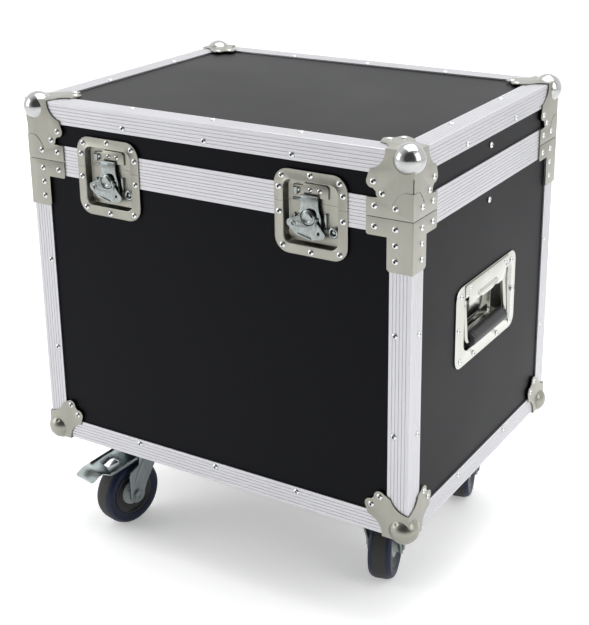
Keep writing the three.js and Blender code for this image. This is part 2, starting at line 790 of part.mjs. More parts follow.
// The brake pedal is a bent plate over the wheel, hung on a pin between the fork legs.
function pedalSolid() {
  const { root, reach, tip, width, padWidth, thick, eye } = pedal;
  const clear = castor.wheelRadius * 2 + 2;
  const spine = [
    [pedalPin.y, pedalPin.z + 2],
    [-root, pedalPin.z],
    [-reach, clear + 1],
    [-reach - 8, clear + 4],
    [-tip, clear - 3],
  ];
  const side = [...spine, ...spine.map(([y, z]) => [y, z + thick]).reverse()];
  const neck = legIn - 2;
  const outline = polygon([
    [-neck, pedalPin.y],
    [-neck, -root],
    [-width / 2, -root - 4],
    [-width / 2, -reach],
    [-padWidth / 2, -reach - 8],
    [-padWidth / 2, -tip],
    [padWidth / 2, -tip],
    [padWidth / 2, -reach - 8],
    [width / 2, -reach],
    [width / 2, -root - 4],
    [neck, -root],
    [neck, pedalPin.y],
  ]);
  const bent = prism(polygon(side), -width / 2, width / 2, alongWheel);
  const { y, z } = pedalPin;
  const barrelPart = rod([-neck, y, z], [neck, y, z], eye, 16);
  const bore = rod([-width, y, z], [width, y, z], pedalPinRadius + gap, 16);
  return cut(union(bent.intersect(prism(outline, 0, 2 * big)), barrelPart), bore);
}

function buildCastors() {
  for (const { corner, heading, brake } of castors) {
    const x = corner.x * (halfX - castor.insetX);
    const y = corner.y * (halfY - castor.insetY);
    const at = new THREE.Matrix4().makeTranslation(x, y, 0);
    const turned = at.clone().multiply(new THREE.Matrix4().makeRotationZ(
      THREE.MathUtils.degToRad(heading),
    ));
    add(`castor_plate_${corner.name}`, mountPlate(), "fork", at);
    add(`castor_fork_${corner.name}`, forkSolid(brake), "fork", turned);
    add(`castor_wheel_${corner.name}`, wheelSolid(), "tyre", turned);
    if (brake) add(`castor_pedal_${corner.name}`, pedalSolid(), "zinc", turned);
  }
}

buildBasePanels();
buildLidPanels();
buildEdgeFrames();
buildClosingFrames();
buildCorners();
buildLatches();
buildHandles();
buildHinge();
buildStays();
buildCastorBoard();
buildCastors();

export default flightCase;
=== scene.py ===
"""Looks for a flight case on castors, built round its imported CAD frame.

Pieces are drawn in millimetres in a frame of their own and then laid in place, in metres.
"""

import math

import bpy
from mathutils import Euler, Matrix, Vector


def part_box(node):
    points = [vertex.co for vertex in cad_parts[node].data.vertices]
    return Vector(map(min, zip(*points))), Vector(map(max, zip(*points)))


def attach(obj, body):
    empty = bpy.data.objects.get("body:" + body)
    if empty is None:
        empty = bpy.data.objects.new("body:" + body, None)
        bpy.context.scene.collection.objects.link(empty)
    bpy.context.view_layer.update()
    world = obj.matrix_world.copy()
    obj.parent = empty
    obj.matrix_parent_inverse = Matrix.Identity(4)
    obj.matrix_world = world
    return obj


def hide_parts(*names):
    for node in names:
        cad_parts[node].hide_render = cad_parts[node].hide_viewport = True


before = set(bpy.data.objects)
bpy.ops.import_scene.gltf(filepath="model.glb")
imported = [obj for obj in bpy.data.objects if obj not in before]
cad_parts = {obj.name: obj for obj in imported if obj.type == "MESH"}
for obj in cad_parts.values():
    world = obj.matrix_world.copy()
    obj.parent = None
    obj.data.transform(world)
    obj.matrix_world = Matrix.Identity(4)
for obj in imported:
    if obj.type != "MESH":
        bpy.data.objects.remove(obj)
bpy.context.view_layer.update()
MM = 0.001

# ---- Camera --------------------------------------------------------------------------------
# A standing person's view of the front right corner, from about two metres, with a rising lens
# so that the upright edges stay nearly parallel.
camera_data = bpy.data.cameras.new("camera")
camera_data.sensor_width = 36
camera_data.lens = 73.62
camera_data.shift_y = -0.148
camera = bpy.data.objects.new("camera", camera_data)
camera.location = (0.9252, -1.49, 1.0497)
camera.rotation_euler = Euler([math.radians(a) for a in (71.713, 0.792, 31.783)])
bpy.context.scene.collection.objects.link(camera)
bpy.context.scene.camera = camera


# ---- Studio --------------------------------------------------------------------------------
# A white sweep under large soft panels, one over the top and one at each side. The room is
# white too, but dim behind the viewer, so that bright metal has a dark band to mirror.
def linear(code):
    """The linear colour of an sRGB hex code."""
    parts = [int(code[i : i + 2], 16) / 255 for i in (1, 3, 5)]
    return [*(c / 12.92 if c < 0.04045 else ((c + 0.055) / 1.055) ** 2.4 for c in parts), 1]


def node(tree, kind, links=(), **settings):
    """Adds a node. Settings are its properties or inputs, by name; links are (input, socket)."""
    made = tree.nodes.new(kind)
    for key, value in settings.items():
        if hasattr(made, key):
            setattr(made, key, value)
        else:
            made.inputs[key.replace("_", " ")].default_value = value
    for key, socket in links:
        tree.links.new(socket, made.inputs[key])
    return made


def new_material(name):
    """A material with an empty node tree and its output node."""
    material = bpy.data.materials.new(name)
    material.use_nodes = True
    material.node_tree.nodes.clear()
    return material, material.node_tree, material.node_tree.nodes.new("ShaderNodeOutputMaterial")


def select_only(piece):
    """Leaves one object selected and active."""
    bpy.ops.object.select_all(action="DESELECT")
    piece.select_set(True)
    bpy.context.view_layer.objects.active = piece


floor_size = 14
bpy.ops.object.select_all(action="DESELECT")
bpy.ops.mesh.primitive_plane_add(size=floor_size)
floor = bpy.context.object
floor.name = "studio_floor"
white, tree, out = new_material("painted_white_board")
shade = node(tree, "ShaderNodeBsdfPrincipled", Base_Color=linear("#f8f8f8"), Roughness=0.9)
shade.inputs["Emission Color"].default_value = linear("#ffffff")
shade.inputs["Emission Strength"].default_value = 0.3
tree.links.new(shade.outputs["BSDF"], out.inputs["Surface"])
floor.data.materials.append(white)

world = bpy.data.worlds.new("studio")
bpy.context.scene.world = world
world.use_nodes = True
room = world.node_tree
way = node(room, "ShaderNodeTexCoord").outputs["Generated"]
facing = node(room, "ShaderNodeVectorMath", [(0, way)], operation="DOT_PRODUCT")
facing.inputs[1].default_value = (0.5, -0.8, 0.33)
dim = node(room, "ShaderNodeMapRange", [("Value", facing.outputs["Value"])])
for key, value in {"From Min": 0.1, "From Max": 0.8, "To Min": 1.3, "To Max": 0.1}.items():
    dim.inputs[key].default_value = value
seen = node(room, "ShaderNodeLightPath").outputs["Is Camera Ray"]
backdrop = node(room, "ShaderNodeMath", [(0, seen), (1, dim.outputs[0])], operation="MAXIMUM")
room.links.new(backdrop.outputs[0], room.nodes["Background"].inputs["Strength"])
room.nodes["Background"].inputs["Color"].default_value = linear("#ffffff")
bpy.context.scene.view_settings.view_transform = "Standard"


def soft_panel(name, place, aim, width, height, power):
    """A rectangular light that faces a point."""
    data = bpy.data.lights.new(name, "AREA")
    data.shape = "RECTANGLE"
    data.size, data.size_y, data.energy = width, height, power
    light = bpy.data.objects.new(name, data)
    light.location = place
    light.rotation_euler = (Vector(aim) - Vector(place)).to_track_quat("-Z", "Y").to_euler()
    bpy.context.scene.collection.objects.link(light)


case_middle = (0, 0, 0.4)
soft_panel("top_panel", (0.2, 0.3, 2.6), case_middle, 2.2, 2.2, 48)
soft_panel("left_panel", (-2.4, -1.8, 1.4), case_middle, 1.6, 2.0, 22)
soft_panel("right_panel", (2.4, -0.2, 1.5), case_middle, 1.4, 2.0, 22)

# ---- Plywood panels ------------------------------------------------------------------------
# 9 mm birch plywood faced with black phenolic film, sawn to size and slid into the profiles.
# The film is hot-pressed, so it is a nearly flat satin black with a very fine grain.
PANELS = ["base_front_panel", "base_back_panel", "base_left_panel", "base_right_panel"]
PANELS += ["base_floor_panel", "lid_side_panels", "lid_top_panel"]


def clouded(name, tones, rough, cloud, skin, bump, stretch=None, pebbled=False, **shader):
    """A finish in two tones: soft clouds of colour and gloss over a skin so fine that it is bump.

    cloud and skin are (scale a metre, detail), bump is (strength, metres), and stretch draws the
    pattern out along an axis. What is the same all over goes straight to the shader.
    """
    material, tree, out = new_material(name)
    place = node(tree, "ShaderNodeTexCoord").outputs["Object"]
    if stretch:
        drawn = node(tree, "ShaderNodeMapping", [("Vector", place)], Scale=stretch)
        place = drawn.outputs["Vector"]
    at = [("Vector", place)]
    patch = node(tree, "ShaderNodeTexNoise", at, Scale=cloud[0], Detail=cloud[1]).outputs["Fac"]
    if pebbled:
        height = node(tree, "ShaderNodeTexVoronoi", at, Scale=skin[0]).outputs["Distance"]
    else:
        height = node(tree, "ShaderNodeTexNoise", at, Scale=skin[0], Detail=skin[1]).outputs["Fac"]
    colour = node(tree, "ShaderNodeMix", [("Factor", patch)], data_type="RGBA")
    for socket, tone in zip((6, 7), tones):
        colour.inputs[socket].default_value = linear(tone)
    gloss = node(tree, "ShaderNodeMapRange", [("Value", patch)], To_Min=rough[0], To_Max=rough[1])
    raised_skin = node(tree, "ShaderNodeBump", [("Height", height)], Strength=bump[0])
    raised_skin.inputs["Distance"].default_value = bump[1]
    links = [("Base Color", colour.outputs[2]), ("Roughness", gloss.outputs[0])]
    links += [("Normal", raised_skin.outputs["Normal"])]
    shade = node(tree, "ShaderNodeBsdfPrincipled", links, **shader)
    tree.links.new(shade.outputs["BSDF"], out.inputs["Surface"])
    return material


def finish_node(name, material):
    """Gives a CAD node its material."""
    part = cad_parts[name]
    part.data.materials.clear()
    part.data.materials.append(material)


# Hot-pressed phenolic film: satin black, with a fine pressed grain and a cool sheen.
film = clouded(
    "phenolic_film",
    ("#07080a", "#0b0c0f"),
    (0.36, 0.46),
    cloud=(7, 5),
    skin=(900, 3),
    bump=(0.12, 0.0002),
    IOR=1.5,
    Specular_IOR_Level=0.07,
    Specular_Tint=linear("#eeeefb"),
)
for panel in PANELS:
    finish_node(panel, film)

# ---- Edge angles ---------------------------------------------------------------------------
# Extruded aluminium angle, 30 x 30 x 2 mm, with fine ribs along both legs, sawn to length,
# riveted over the panel edges. Left as extruded, so it is pale and satin with streaks.
low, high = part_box("base_edge_angles")
HALF_X, HALF_Y = high.x / MM, high.y / MM
UNDER, TOP = low.z / MM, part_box("lid_edge_angles")[1].z / MM
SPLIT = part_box("latch_lower_dish_left")[1].z / MM
GAP = 0.3
LEG, WALL = 30, 2
RIB_PITCH, GROOVE, GROOVE_DEPTH = 4.7, 1.1, 0.55


def face_outwards():
    """Turns the active piece's faces outwards and leaves edit mode."""
    bpy.ops.object.mode_set(mode="EDIT")
    bpy.ops.mesh.select_all(action="SELECT")
    bpy.ops.mesh.normals_make_consistent(inside=False)
    bpy.ops.object.mode_set(mode="OBJECT")


def solid_from(outline, depth, name):
    """A flat outline in x and y, in millimetres, raised along z by depth."""
    bpy.ops.object.select_all(action="DESELECT")
    bpy.ops.mesh.primitive_circle_add(vertices=len(outline), radius=1, fill_type="NGON")
    piece = bpy.context.object
    piece.name = name
    for vertex, (x, y) in zip(piece.data.vertices, outline):
        vertex.co = (x, y, 0)
    bpy.ops.object.mode_set(mode="EDIT")
    bpy.ops.mesh.select_all(action="SELECT")
    bpy.ops.mesh.extrude_region_move(TRANSFORM_OT_translate={"value": (0, 0, depth)})
    face_outwards()
    return piece


def lay(piece, matrix):
    """Puts a piece drawn in millimetres in its place in the row's frame."""
    piece.data.transform(Matrix.Scale(MM, 4) @ matrix @ piece.matrix_world)
    piece.matrix_world = Matrix.Identity(4)
    if matrix.determinant() < 0:
        piece.data.flip_normals()
    return piece


def joined(pieces, name):
    """One mesh from several."""
    select_only(pieces[0])
    for piece in pieces:
        piece.select_set(True)
    if len(pieces) > 1:
        bpy.ops.object.join()
    pieces[0].name = name
    return pieces[0]


def copy_of(piece, name):
    """A copy with its own mesh."""
    made = piece.copy()
    made.data = piece.data.copy()
    made.name = name
    bpy.context.scene.collection.objects.link(made)
    return made


def smooth(piece, angle):
    """Smooth shading up to an edge angle in degrees."""
    select_only(piece)
    bpy.ops.object.shade_smooth_by_angle(angle=math.radians(angle))


def bevel(piece, width, segments=2, angle=30):
    """Rounds the sharp edges, for good."""
    select_only(piece)
    made = piece.modifiers.new("edges", "BEVEL")
    made.width, made.segments = width, segments
    made.limit_method, made.angle_limit = "ANGLE", math.radians(angle)
    bpy.ops.object.modifier_apply(modifier="edges")


def assembled(drawings, places, name):
    """One mesh from copies of the drawings, laid at each of the places."""
    copies = [lay(copy_of(drawing, name), place) for place in places for drawing in drawings]
    return joined(copies, name)


def discard(drawings):
    """Removes drawings once their copies are laid."""
    for drawing in drawings:
        bpy.data.objects.remove(drawing)


def fit(piece, body, material, replaced=(), angle=40):
    """The last steps for a piece: shading, material, what it stands for, what it rides on."""
    if angle:
        smooth(piece, angle)
    piece.data.materials.clear()
    piece.data.materials.append(material)
    if replaced:
        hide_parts(*replaced)
    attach(piece, body)


def ribbed_leg(length, first):
    """Points (along, depth) of a ribbed outer face, from the corner outwards."""
    points = [(0, 0)]
    at = first
    while at + GROOVE < length - 1.2:
        slope = GROOVE * 0.28
        points += [(at, 0), (at + slope, GROOVE_DEPTH)]
        points += [(at + GROOVE - slope, GROOVE_DEPTH), (at + GROOVE, 0)]
        at += RIB_PITCH
    return [*points, (length, 0)]


def angle_section():
    """Closed section of the edge angle: outer corner at 0, 0 and legs along +x and +y."""
    round_corner = 1.6
    leg = [p for p in ribbed_leg(LEG, 5.6) if p[0] > round_corner]
    turns = (0.4, 0.8, 1.17)
    bend = [(round_corner * (1 - math.cos(t)), round_corner * (1 - math.sin(t))) for t in turns]
    along_x = [(round_corner, 0), *leg]
    along_y = [(y, x) for x, y in reversed(along_x)]
    return [*along_y, *bend, *along_x, (LEG, WALL), (WALL, WALL), (WALL, LEG)]


def corner_frame(edge, into_a, into_b):
    """A frame along an edge: x and y run into the two faces, z along the edge."""
    x, y = Vector(into_a), Vector(into_b)
    return Matrix.Translation(edge) @ Matrix(
        [[x[i], y[i], abs(x.cross(y)[i]), 0] for i in range(3)] + [[0, 0, 0, 1]]
    )


# Aluminium as it leaves the die is pale and satin, with faint streaks and dull spots.
tones = ("#b0b0b3", "#c1c1c5")
aluminium = clouded(
    "extruded_aluminium", tones, (0.36, 0.5), (9, 4), (420, 2), (0.1, 0.0002), Metallic=1.0
)
HIDDEN = 31  # how far a bar stops from the corner, under the corner's plates


def edge_bar(edge, into_a, into_b, half_length):
    """One angle along an edge of the case; edge is the middle of the edge."""
    bar = solid_from(angle_section(), 2 * half_length, "bar")
    middle = Matrix.Translation((0, 0, -half_length))
    return lay(bar, corner_frame(edge, into_a, into_b) @ middle)


BASE_CUT, LID_CUT = 19.3, 23.6  # where the upright bars meet the closing profiles
base_bars, lid_bars = [], []
for sx in (-1, 1):
    for sy in (-1, 1):
        for bars, foot, head in (
            (base_bars, UNDER + HIDDEN, SPLIT - BASE_CUT),
            (lid_bars, SPLIT + LID_CUT, TOP - HIDDEN),
        ):
            edge = (sx * HALF_X, sy * HALF_Y, (foot + head) / 2)
            bars.append(edge_bar(edge, (-sx, 0, 0), (0, -sy, 0), (head - foot) / 2))
for sign in (-1, 1):
    for bars, z, inward in ((base_bars, UNDER, (0, 0, 1)), (lid_bars, TOP, (0, 0, -1))):
        edge, half = (0, sign * HALF_Y, z), HALF_X - HIDDEN
        bars.append(edge_bar(edge, (0, -sign, 0), inward, half))
        edge, half = (sign * HALF_X, 0, z), HALF_Y - HIDDEN
        bars.append(edge_bar(edge, (-sign, 0, 0), inward, half))
for bars, body in ((base_bars, "base"), (lid_bars, "lid")):
    angles = joined(bars, f"{body}_ribbed_angles")
    fit(angles, body, aluminium, [f"{body}_edge_angles"], angle=None)

# ---- Closing profiles ----------------------------------------------------------------------
# Two ribbed aluminium extrusions that slide over the panel edges where the lid meets the case.
# The lower one carries a tongue and the upper one its groove; both are mitred at the corners.
LID_UNDER = SPLIT + GAP
FIRST_RIB = 3.2
base_face = [(deep, -along) for along, deep in ribbed_leg(19, FIRST_RIB)]
BASE_SECTION = [*base_face, (2, -19), (2, -3), (11.6, -3), (11.6, -15), (13.1, -15), (13.1, 0)]
BASE_SECTION += [(7.5, 0), (7.5, 3), (5.5, 3), (5.5, 0)]
lid_face = [(deep, along) for along, deep in ribbed_leg(23, FIRST_RIB)]
LID_SECTION = [*lid_face, (2, 23), (2, 5.5), (11.6, 5.5), (11.6, 15), (13.1, 15), (13.1, 0)]
LID_SECTION += [(8.5, 0), (8.5, 3.9), (4.5, 3.9), (4.5, 0)]
LATCH_X, LATCH_Z = 158, SPLIT - 12
DISH_EDGE = 45  # a front bar stops this far from a latch's middle, under the latch's flange


def closing_bar(section, z, inward, start, end, limit):
    """A bar along one side. An end that reaches the corner, at limit, is mitred."""
    bar = solid_from(section, end - start, "bar")
    for vertex in bar.data.vertices:
        at_end = vertex.co.z > 1
        if at_end and end == limit:
            vertex.co.z -= vertex.co.x
        if not at_end and start == -limit:
            vertex.co.z += vertex.co.x
    along_x = inward[0] == 0
    edge = (0, -inward[1] * HALF_Y, z) if along_x else (-inward[0] * HALF_X, 0, z)
    return lay(bar, corner_frame(edge, inward, (0, 0, 1)) @ Matrix.Translation((0, 0, start)))


front_runs = [(-HALF_X, -LATCH_X - DISH_EDGE), (DISH_EDGE - LATCH_X, LATCH_X - DISH_EDGE)]
front_runs += [(LATCH_X + DISH_EDGE, HALF_X)]
for section, z, body in ((BASE_SECTION, SPLIT, "base"), (LID_SECTION, LID_UNDER, "lid")):
    bars = [closing_bar(section, z, (0, 1, 0), a, b, HALF_X) for a, b in front_runs]
    bars.append(closing_bar(section, z, (0, -1, 0), -HALF_X, HALF_X, HALF_X))
    bars += [closing_bar(section, z, (sx, 0, 0), -HALF_Y, HALF_Y, HALF_Y) for sx in (-1, 1)]
    profile = joined(bars, f"{body}_tongue_and_groove")
    fit(profile, body, aluminium, [f"{body}_closing_profile"], angle=None)

# ---- Ball corners and brackets -------------------------------------------------------------
# Pressed 1.5 mm steel, zinc plated to a warm satin grey. A deep-drawn ball takes the knocks and
# three lobed legs are riveted over the profiles; the lid's also wrap down to the joint.
BALL_IN, BALL_R, BALL_SKIN = 10.5, 20, 1.4
HOLLOW_OUT, HOLLOW_R = 25.0, 5.8  # the two hollows pressed into a lower ball
PLATE_IN, PLATE_OUT = 0.3, 1.8
CORNERS = {"front_left": (-1, -1), "front_right": (1, -1), "rear_left": (-1, 1)}
CORNERS["rear_right"] = (1, 1)


def plated_metal(name, dull, bright, rough, cloud_size, brush=None):
    """Plated or polished metal, in clouds cloud_size metres wide, brushed along an axis."""
    cloud = (1 / cloud_size, 6)
    tones, bump = (dull, bright), (0.15, 0.0002)
    return clouded(name, tones, rough, cloud, (900, 2), bump, stretch=brush, Metallic=1.0)


def arc(cx, cy, r, start, end, steps=8):
    """Points round a centre, angles in degrees."""
    angles = [math.radians(start + (end - start) * i / steps) for i in range(steps + 1)]
    return [(cx + r * math.cos(a), cy + r * math.sin(a)) for a in angles]


def combine(piece, tool, operation):
    """A boolean with another solid, which is used up."""
    select_only(piece)
    made = piece.modifiers.new("cut", "BOOLEAN")
    made.object, made.operation, made.solver = tool, operation, "EXACT"
    bpy.ops.object.modifier_apply(modifier="cut")
    bpy.data.objects.remove(tool)
    return piece


def box_tool(low, high):
    """A box between two corners, for cutting with."""
    bpy.ops.object.select_all(action="DESELECT")
    bpy.ops.mesh.primitive_cube_add(size=1)
    tool = bpy.context.object
    size, middle = Vector(high) - Vector(low), (Vector(high) + Vector(low)) / 2
    tool.data.transform(Matrix.Translation(middle) @ Matrix.Diagonal([*size, 1]))
    return tool


def ball_tool(centre, radius, around=48):
    """A ball, for cutting with or to keep."""
    bpy.ops.object.select_all(action="DESELECT")
    bpy.ops.mesh.primitive_uv_sphere_add(segments=around, ring_count=around // 2, radius=radius)
    bpy.context.object.data.transform(Matrix.Translation(centre))
    return bpy.context.object


# A plate's outline is drawn along two edges of the corner and stands off the third.
ACROSS = {
    "ab": Matrix.Identity(4),
    "ac": Matrix(((1, 0, 0, 0), (0, 0, 1, 0), (0, 1, 0, 0), (0, 0, 0, 1))),
    "bc": Matrix(((0, 0, 1, 0), (1, 0, 0, 0), (0, 1, 0, 0), (0, 0, 0, 1))),
}


def corner_plate(outline, across, inner=PLATE_IN, outer=PLATE_OUT):
    """A plate on one face of the corner, still in millimetres."""
    sheet = solid_from(outline, outer - inner, "plate")
    matrix = ACROSS[across] @ Matrix.Translation((0, 0, -outer))
    sheet.data.transform(matrix)
    if matrix.determinant() < 0:
        sheet.data.flip_normals()
    return sheet


def folded(sheets):
    """Plates made one pressing: merged, with rounded folds and broken edges."""
    first = sheets[0]
    for sheet in sheets[1:]:
        combine(first, sheet, "UNION")
    bevel(first, 0.45, 3, 40)
    return first


def leg_outline():
    """One leg: hollowed sides and two lobes on the far end, square towards the corner."""
    points = [(-PLATE_OUT, -PLATE_OUT), (36, -PLATE_OUT)]
    points += arc(62, 0, 26, 180, 102, 9)
    points += arc(53, 40, 8, -34, 98, 9)[1:]
    points += arc(40, 53, 8, -8, 124, 9)
    points += arc(0, 62, 26, -12, -90, 9)[1:]
    return [*points, (-PLATE_OUT, 36)]


LID_DROP = TOP - SPLIT
arm_top = LID_DROP - 23
under_legs = [(-PLATE_OUT, LID_DROP - 0.6), (61, LID_DROP - 0.6), (61, arm_top), (33, arm_top - 2)]
under_legs += [(25, 46), (13, 34), (-PLATE_OUT, 34)]
# The wrap's arched upper edge shows as a fine line pressed into the legs.
ARCH = [(-2, 48), (9.5, 48), (13.5, 49.2), (17.5, 52.4), (21.5, 57.4), (26, 65)]
bracket_outline = [(-PLATE_OUT, GAP), (61, GAP), (61, 21), (59, 23), (33, 23), (33, 63)]
bracket_outline += [(30, 66), (-PLATE_OUT, 66)]


def ball_cap(dimpled):
    """The drawn ball, open towards the case."""
    middle = Vector((BALL_IN, BALL_IN, BALL_IN))
    cap = ball_tool(middle, BALL_R)
    if dimpled:
        for way in ((0.2, -0.76, 0.62), (-0.76, 0.2, 0.62)):
            hollow = middle + Vector(way).normalized() * HOLLOW_OUT
            combine(cap, ball_tool(hollow, HOLLOW_R, 24), "DIFFERENCE")
    combine(cap, box_tool((-GAP, -GAP, -GAP), (60, 60, 60)), "DIFFERENCE")
    return combine(cap, ball_tool(middle, BALL_R - BALL_SKIN, 32), "DIFFERENCE")


def three_legs():
    """The three riveted legs."""
    return [corner_plate(leg_outline(), across) for across in ACROSS]


def hollowed(plates):
    """Opens the plates where the ball rises from them."""
    inside = ball_tool((BALL_IN, BALL_IN, BALL_IN), BALL_R - BALL_SKIN, 32)
    return combine(plates, inside, "DIFFERENCE")


def slit_tool():
    """The narrow gap that the fold leaves under the ball."""
    tool = box_tool((-4, -0.7, 31), (4, 0.7, 48.4))
    tool.data.transform(Matrix.Rotation(math.radians(45), 4, "Z"))
    return tool


def line_tool(across):
    """A thin curved blade that presses the arched line into a plate."""
    lower = [(x - 0.7, y + 0.8) for x, y in reversed(ARCH)]
    blade = solid_from([*ARCH, *lower], 2.3, "blade")
    blade.data.transform(ACROSS[across] @ Matrix.Translation((0, 0, -3.2)))
    if ACROSS[across].determinant() < 0:
        blade.data.flip_normals()
    return blade


lid_plates = three_legs() + [corner_plate(under_legs, across) for across in ("ac", "bc")]
lid_pressing = hollowed(folded(lid_plates))
combine(lid_pressing, slit_tool(), "DIFFERENCE")
for across in ("ac", "bc"):
    combine(lid_pressing, line_tool(across), "DIFFERENCE")
bracket = folded([corner_plate(bracket_outline, across) for across in ("ac", "bc")])
drawings = {
    "lid_corner": (lid_pressing, TOP, -1, "lid"),
    "base_corner": (hollowed(folded(three_legs())), UNDER, 1, "base"),
    "base_bracket": (bracket, SPLIT, -1, "base"),
}


def at_corner(corner, z, up):
    """A corner's frame: its axes run into the case along the three edges."""
    sx, sy = CORNERS[corner]
    return Matrix.Translation((sx * HALF_X, sy * HALF_Y, z)) @ Matrix.Diagonal((-sx, -sy, up, 1))


# Satin zinc over a pressed sheet: warm grey, with soft clouds and a faint vertical grain.
upright_brush = (1, 1, 0.3)
satin_steel = plated_metal(
    "satin_zinc_plate", "#7f7e76", "#9b9a92", (0.27, 0.36), 0.03, upright_brush
)
# The lid's balls are rubbed bright by hands and straps; the lower ones stay satin.
drawn_steel = plated_metal("tumbled_ball_steel", "#9c9e9c", "#b4b6b5", (0.12, 0.18), 0.02)
balls = {
    "lid": (ball_cap(False), TOP, -1, drawn_steel),
    "base": (ball_cap(True), UNDER, 1, satin_steel),
}
for name, (drawing, z, up, body) in drawings.items():
    plates = assembled([drawing], [at_corner(c, z, up) for c in CORNERS], f"{name}_plates")
    stands_for = [f"{name}_{c}" for c in CORNERS]
    fit(plates, body, satin_steel, stands_for, angle=30)
    discard([drawing])
for body, (drawing, z, up, steel) in balls.items():
    caps = assembled([drawing], [at_corner(c, z, up) for c in CORNERS], f"{body}_corner_balls")
    fit(caps, body, steel)
    discard([drawing])

# ---- Rivets --------------------------------------------------------------------------------
# Steel drive rivets with domed heads, zinc plated. Each was set by a pin that broke off low in the
# head, which leaves a small pit in its middle; the pin in it is coloured near black as painted shade.
HEAD_R, PIT_R, HEAD_H = 4.2, 1.6, 1.8
rivet_steel = plated_metal("bright_zinc_rivets", "#b9bbba", "#d6d7d8", (0.16, 0.26), 0.01)
# The pins' near-black colour is painted shade for the pits, not the colour of their steel.
pit_shade_paint = plated_metal("rivet_pins_painted_shade", "#12110f", "#211f1b", (0.4, 0.55), 0.004)


def turned(line, name, steps=24):
    """A closed line of (radius, height) points, turned about z into a solid."""
    bpy.ops.object.select_all(action="DESELECT")
    bpy.ops.mesh.primitive_circle_add(vertices=len(line), radius=1)
    piece = bpy.context.object
    piece.name = name
    for vertex, (r, h) in zip(piece.data.vertices, line):
        vertex.co = (r, 0, h)
    bpy.ops.object.mode_set(mode="EDIT")
    bpy.ops.mesh.select_all(action="SELECT")
    bpy.ops.mesh.spin(steps=steps, angle=2 * math.pi, center=(0, 0, 0), axis=(0, 0, 1))
    bpy.ops.mesh.select_all(action="SELECT")
    bpy.ops.mesh.remove_doubles(threshold=0.0005)
    bpy.ops.mesh.dissolve_degenerate(threshold=0.0005)
    bpy.ops.mesh.delete_loose()
    face_outwards()
    return piece


head_line = [(0, -0.2), (HEAD_R, -0.2), (HEAD_R, 0.3), (HEAD_R - 0.5, 0.95), (2.5, HEAD_H - 0.15)]
head_line += [(PIT_R + 0.25, HEAD_H), (PIT_R, HEAD_H - 0.35), (PIT_R - 0.15, 0.55), (0, 0.55)]
rivet_head = turned(head_line, "rivet", 14)
rivet_pin = turned([(0, 0.3), (PIT_R - 0.3, 0.3), (PIT_R - 0.3, 0.75), (0, 0.8)], "pin", 8)
FACES = {
    "front": (Vector((1, 0, 0)), Vector((0, -1, 0))),
    "back": (Vector((-1, 0, 0)), Vector((0, 1, 0))),
    "right": (Vector((0, 1, 0)), Vector((1, 0, 0))),
    "left": (Vector((0, -1, 0)), Vector((-1, 0, 0))),
}


def on_face(face, u, z, n=0.0):
    """A frame on a side of the case: x runs along it, y up and z out of it."""
    along, out_of = FACES[face]
    up = Vector((0, 0, 1))
    middle = out_of * (HALF_Y if face in ("front", "back") else HALF_X)
    place = middle + along * u + up * z + out_of * n
    axes = [[along[i], up[i], out_of[i], 0] for i in range(3)]
    return Matrix.Translation(place) @ Matrix([*axes, [0, 0, 0, 1]])


def flat_on(x, y, z, up):
    """A frame that lies on the top, or under the bottom, of the case."""
    turn = Matrix.Identity(4) if up > 0 else Matrix.Rotation(math.pi, 4, "X")
    return Matrix.Translation((x, y, z)) @ turn


rivets = {"base": [], "lid": []}
for sy in (-1, 1):
    face = "front" if sy < 0 else "back"
    for x in (-131, 0, 131):
        rivets["lid"] += [on_face(face, x, TOP - 23), flat_on(x, sy * (HALF_Y - 23), TOP, 1)]
        rivets["base"] += [on_face(face, x, UNDER + 23), flat_on(x, sy * (HALF_Y - 23), UNDER, -1)]
for sx in (-1, 1):
    face = "left" if sx < 0 else "right"
    for y in (-77, 77):
        rivets["lid"] += [on_face(face, y, TOP - 23), flat_on(sx * (HALF_X - 23), y, TOP, 1)]
        rivets["base"] += [on_face(face, y, UNDER + 23), flat_on(sx * (HALF_X - 23), y, UNDER, -1)]
    for z in (465, 391):
        rivets["lid" if z > 420 else "base"].append(on_face(face, 0, UNDER + z, -1.6))
for face in FACES:
    half = HALF_X if face in ("front", "back") else HALF_Y
    for side in (-1, 1):
        for z in (142, 277):
            rivets["base"].append(on_face(face, side * (half - 22), UNDER + z))
        for a, c in ((52, 40), (40, 53.5)):
            rivets["lid"].append(on_face(face, side * (half - a), TOP - c, PLATE_OUT))
            rivets["base"].append(on_face(face, side * (half - a), UNDER + c, PLATE_OUT))
        for a in (22, 50):
            rivets["lid"].append(on_face(face, side * (half - a), UNDER + 438.5, PLATE_OUT))
        for a, c in ((22, 413), (50, 413), (22, 393), (22, 373)):
            rivets["base"].append(on_face(face, side * (half - a), UNDER + c, PLATE_OUT))
for sx, sy in CORNERS.values():
    for a, b in ((52, 40), (40, 53.5)):
        x, y = sx * (HALF_X - a), sy * (HALF_Y - b)
        rivets["lid"].append(flat_on(x, y, TOP + PLATE_OUT, 1))
        rivets["base"].append(flat_on(x, y, UNDER - PLATE_OUT, -1))

# ---- Latches -------------------------------------------------------------------------------
# Butterfly latches in pressed dishes, cut in two at the joint: the lower half stays with the
# case, and the upper half and its keeper lift with the lid. The works are blue zinc.
blue_zinc = plated_metal("blue_zinc_latch_works", "#666c6b", "#a5abaa", (0.1, 0.22), 0.005)
DISH_DEPTH, LATCH_CUT = 9.8, 12


def rounded(width, height, radius, middle=0.0, steps=6):
    """A rounded rectangle's points, round from its lower right corner."""
    x, y = width / 2 - radius, height / 2 - radius
    points = []
    for cx, cy, start in ((x, -y, -90), (x, y, 0), (-x, y, 90), (-x, -y, 180)):
        points += arc(cx, cy + middle, radius, start, start + 90, steps)
    return points


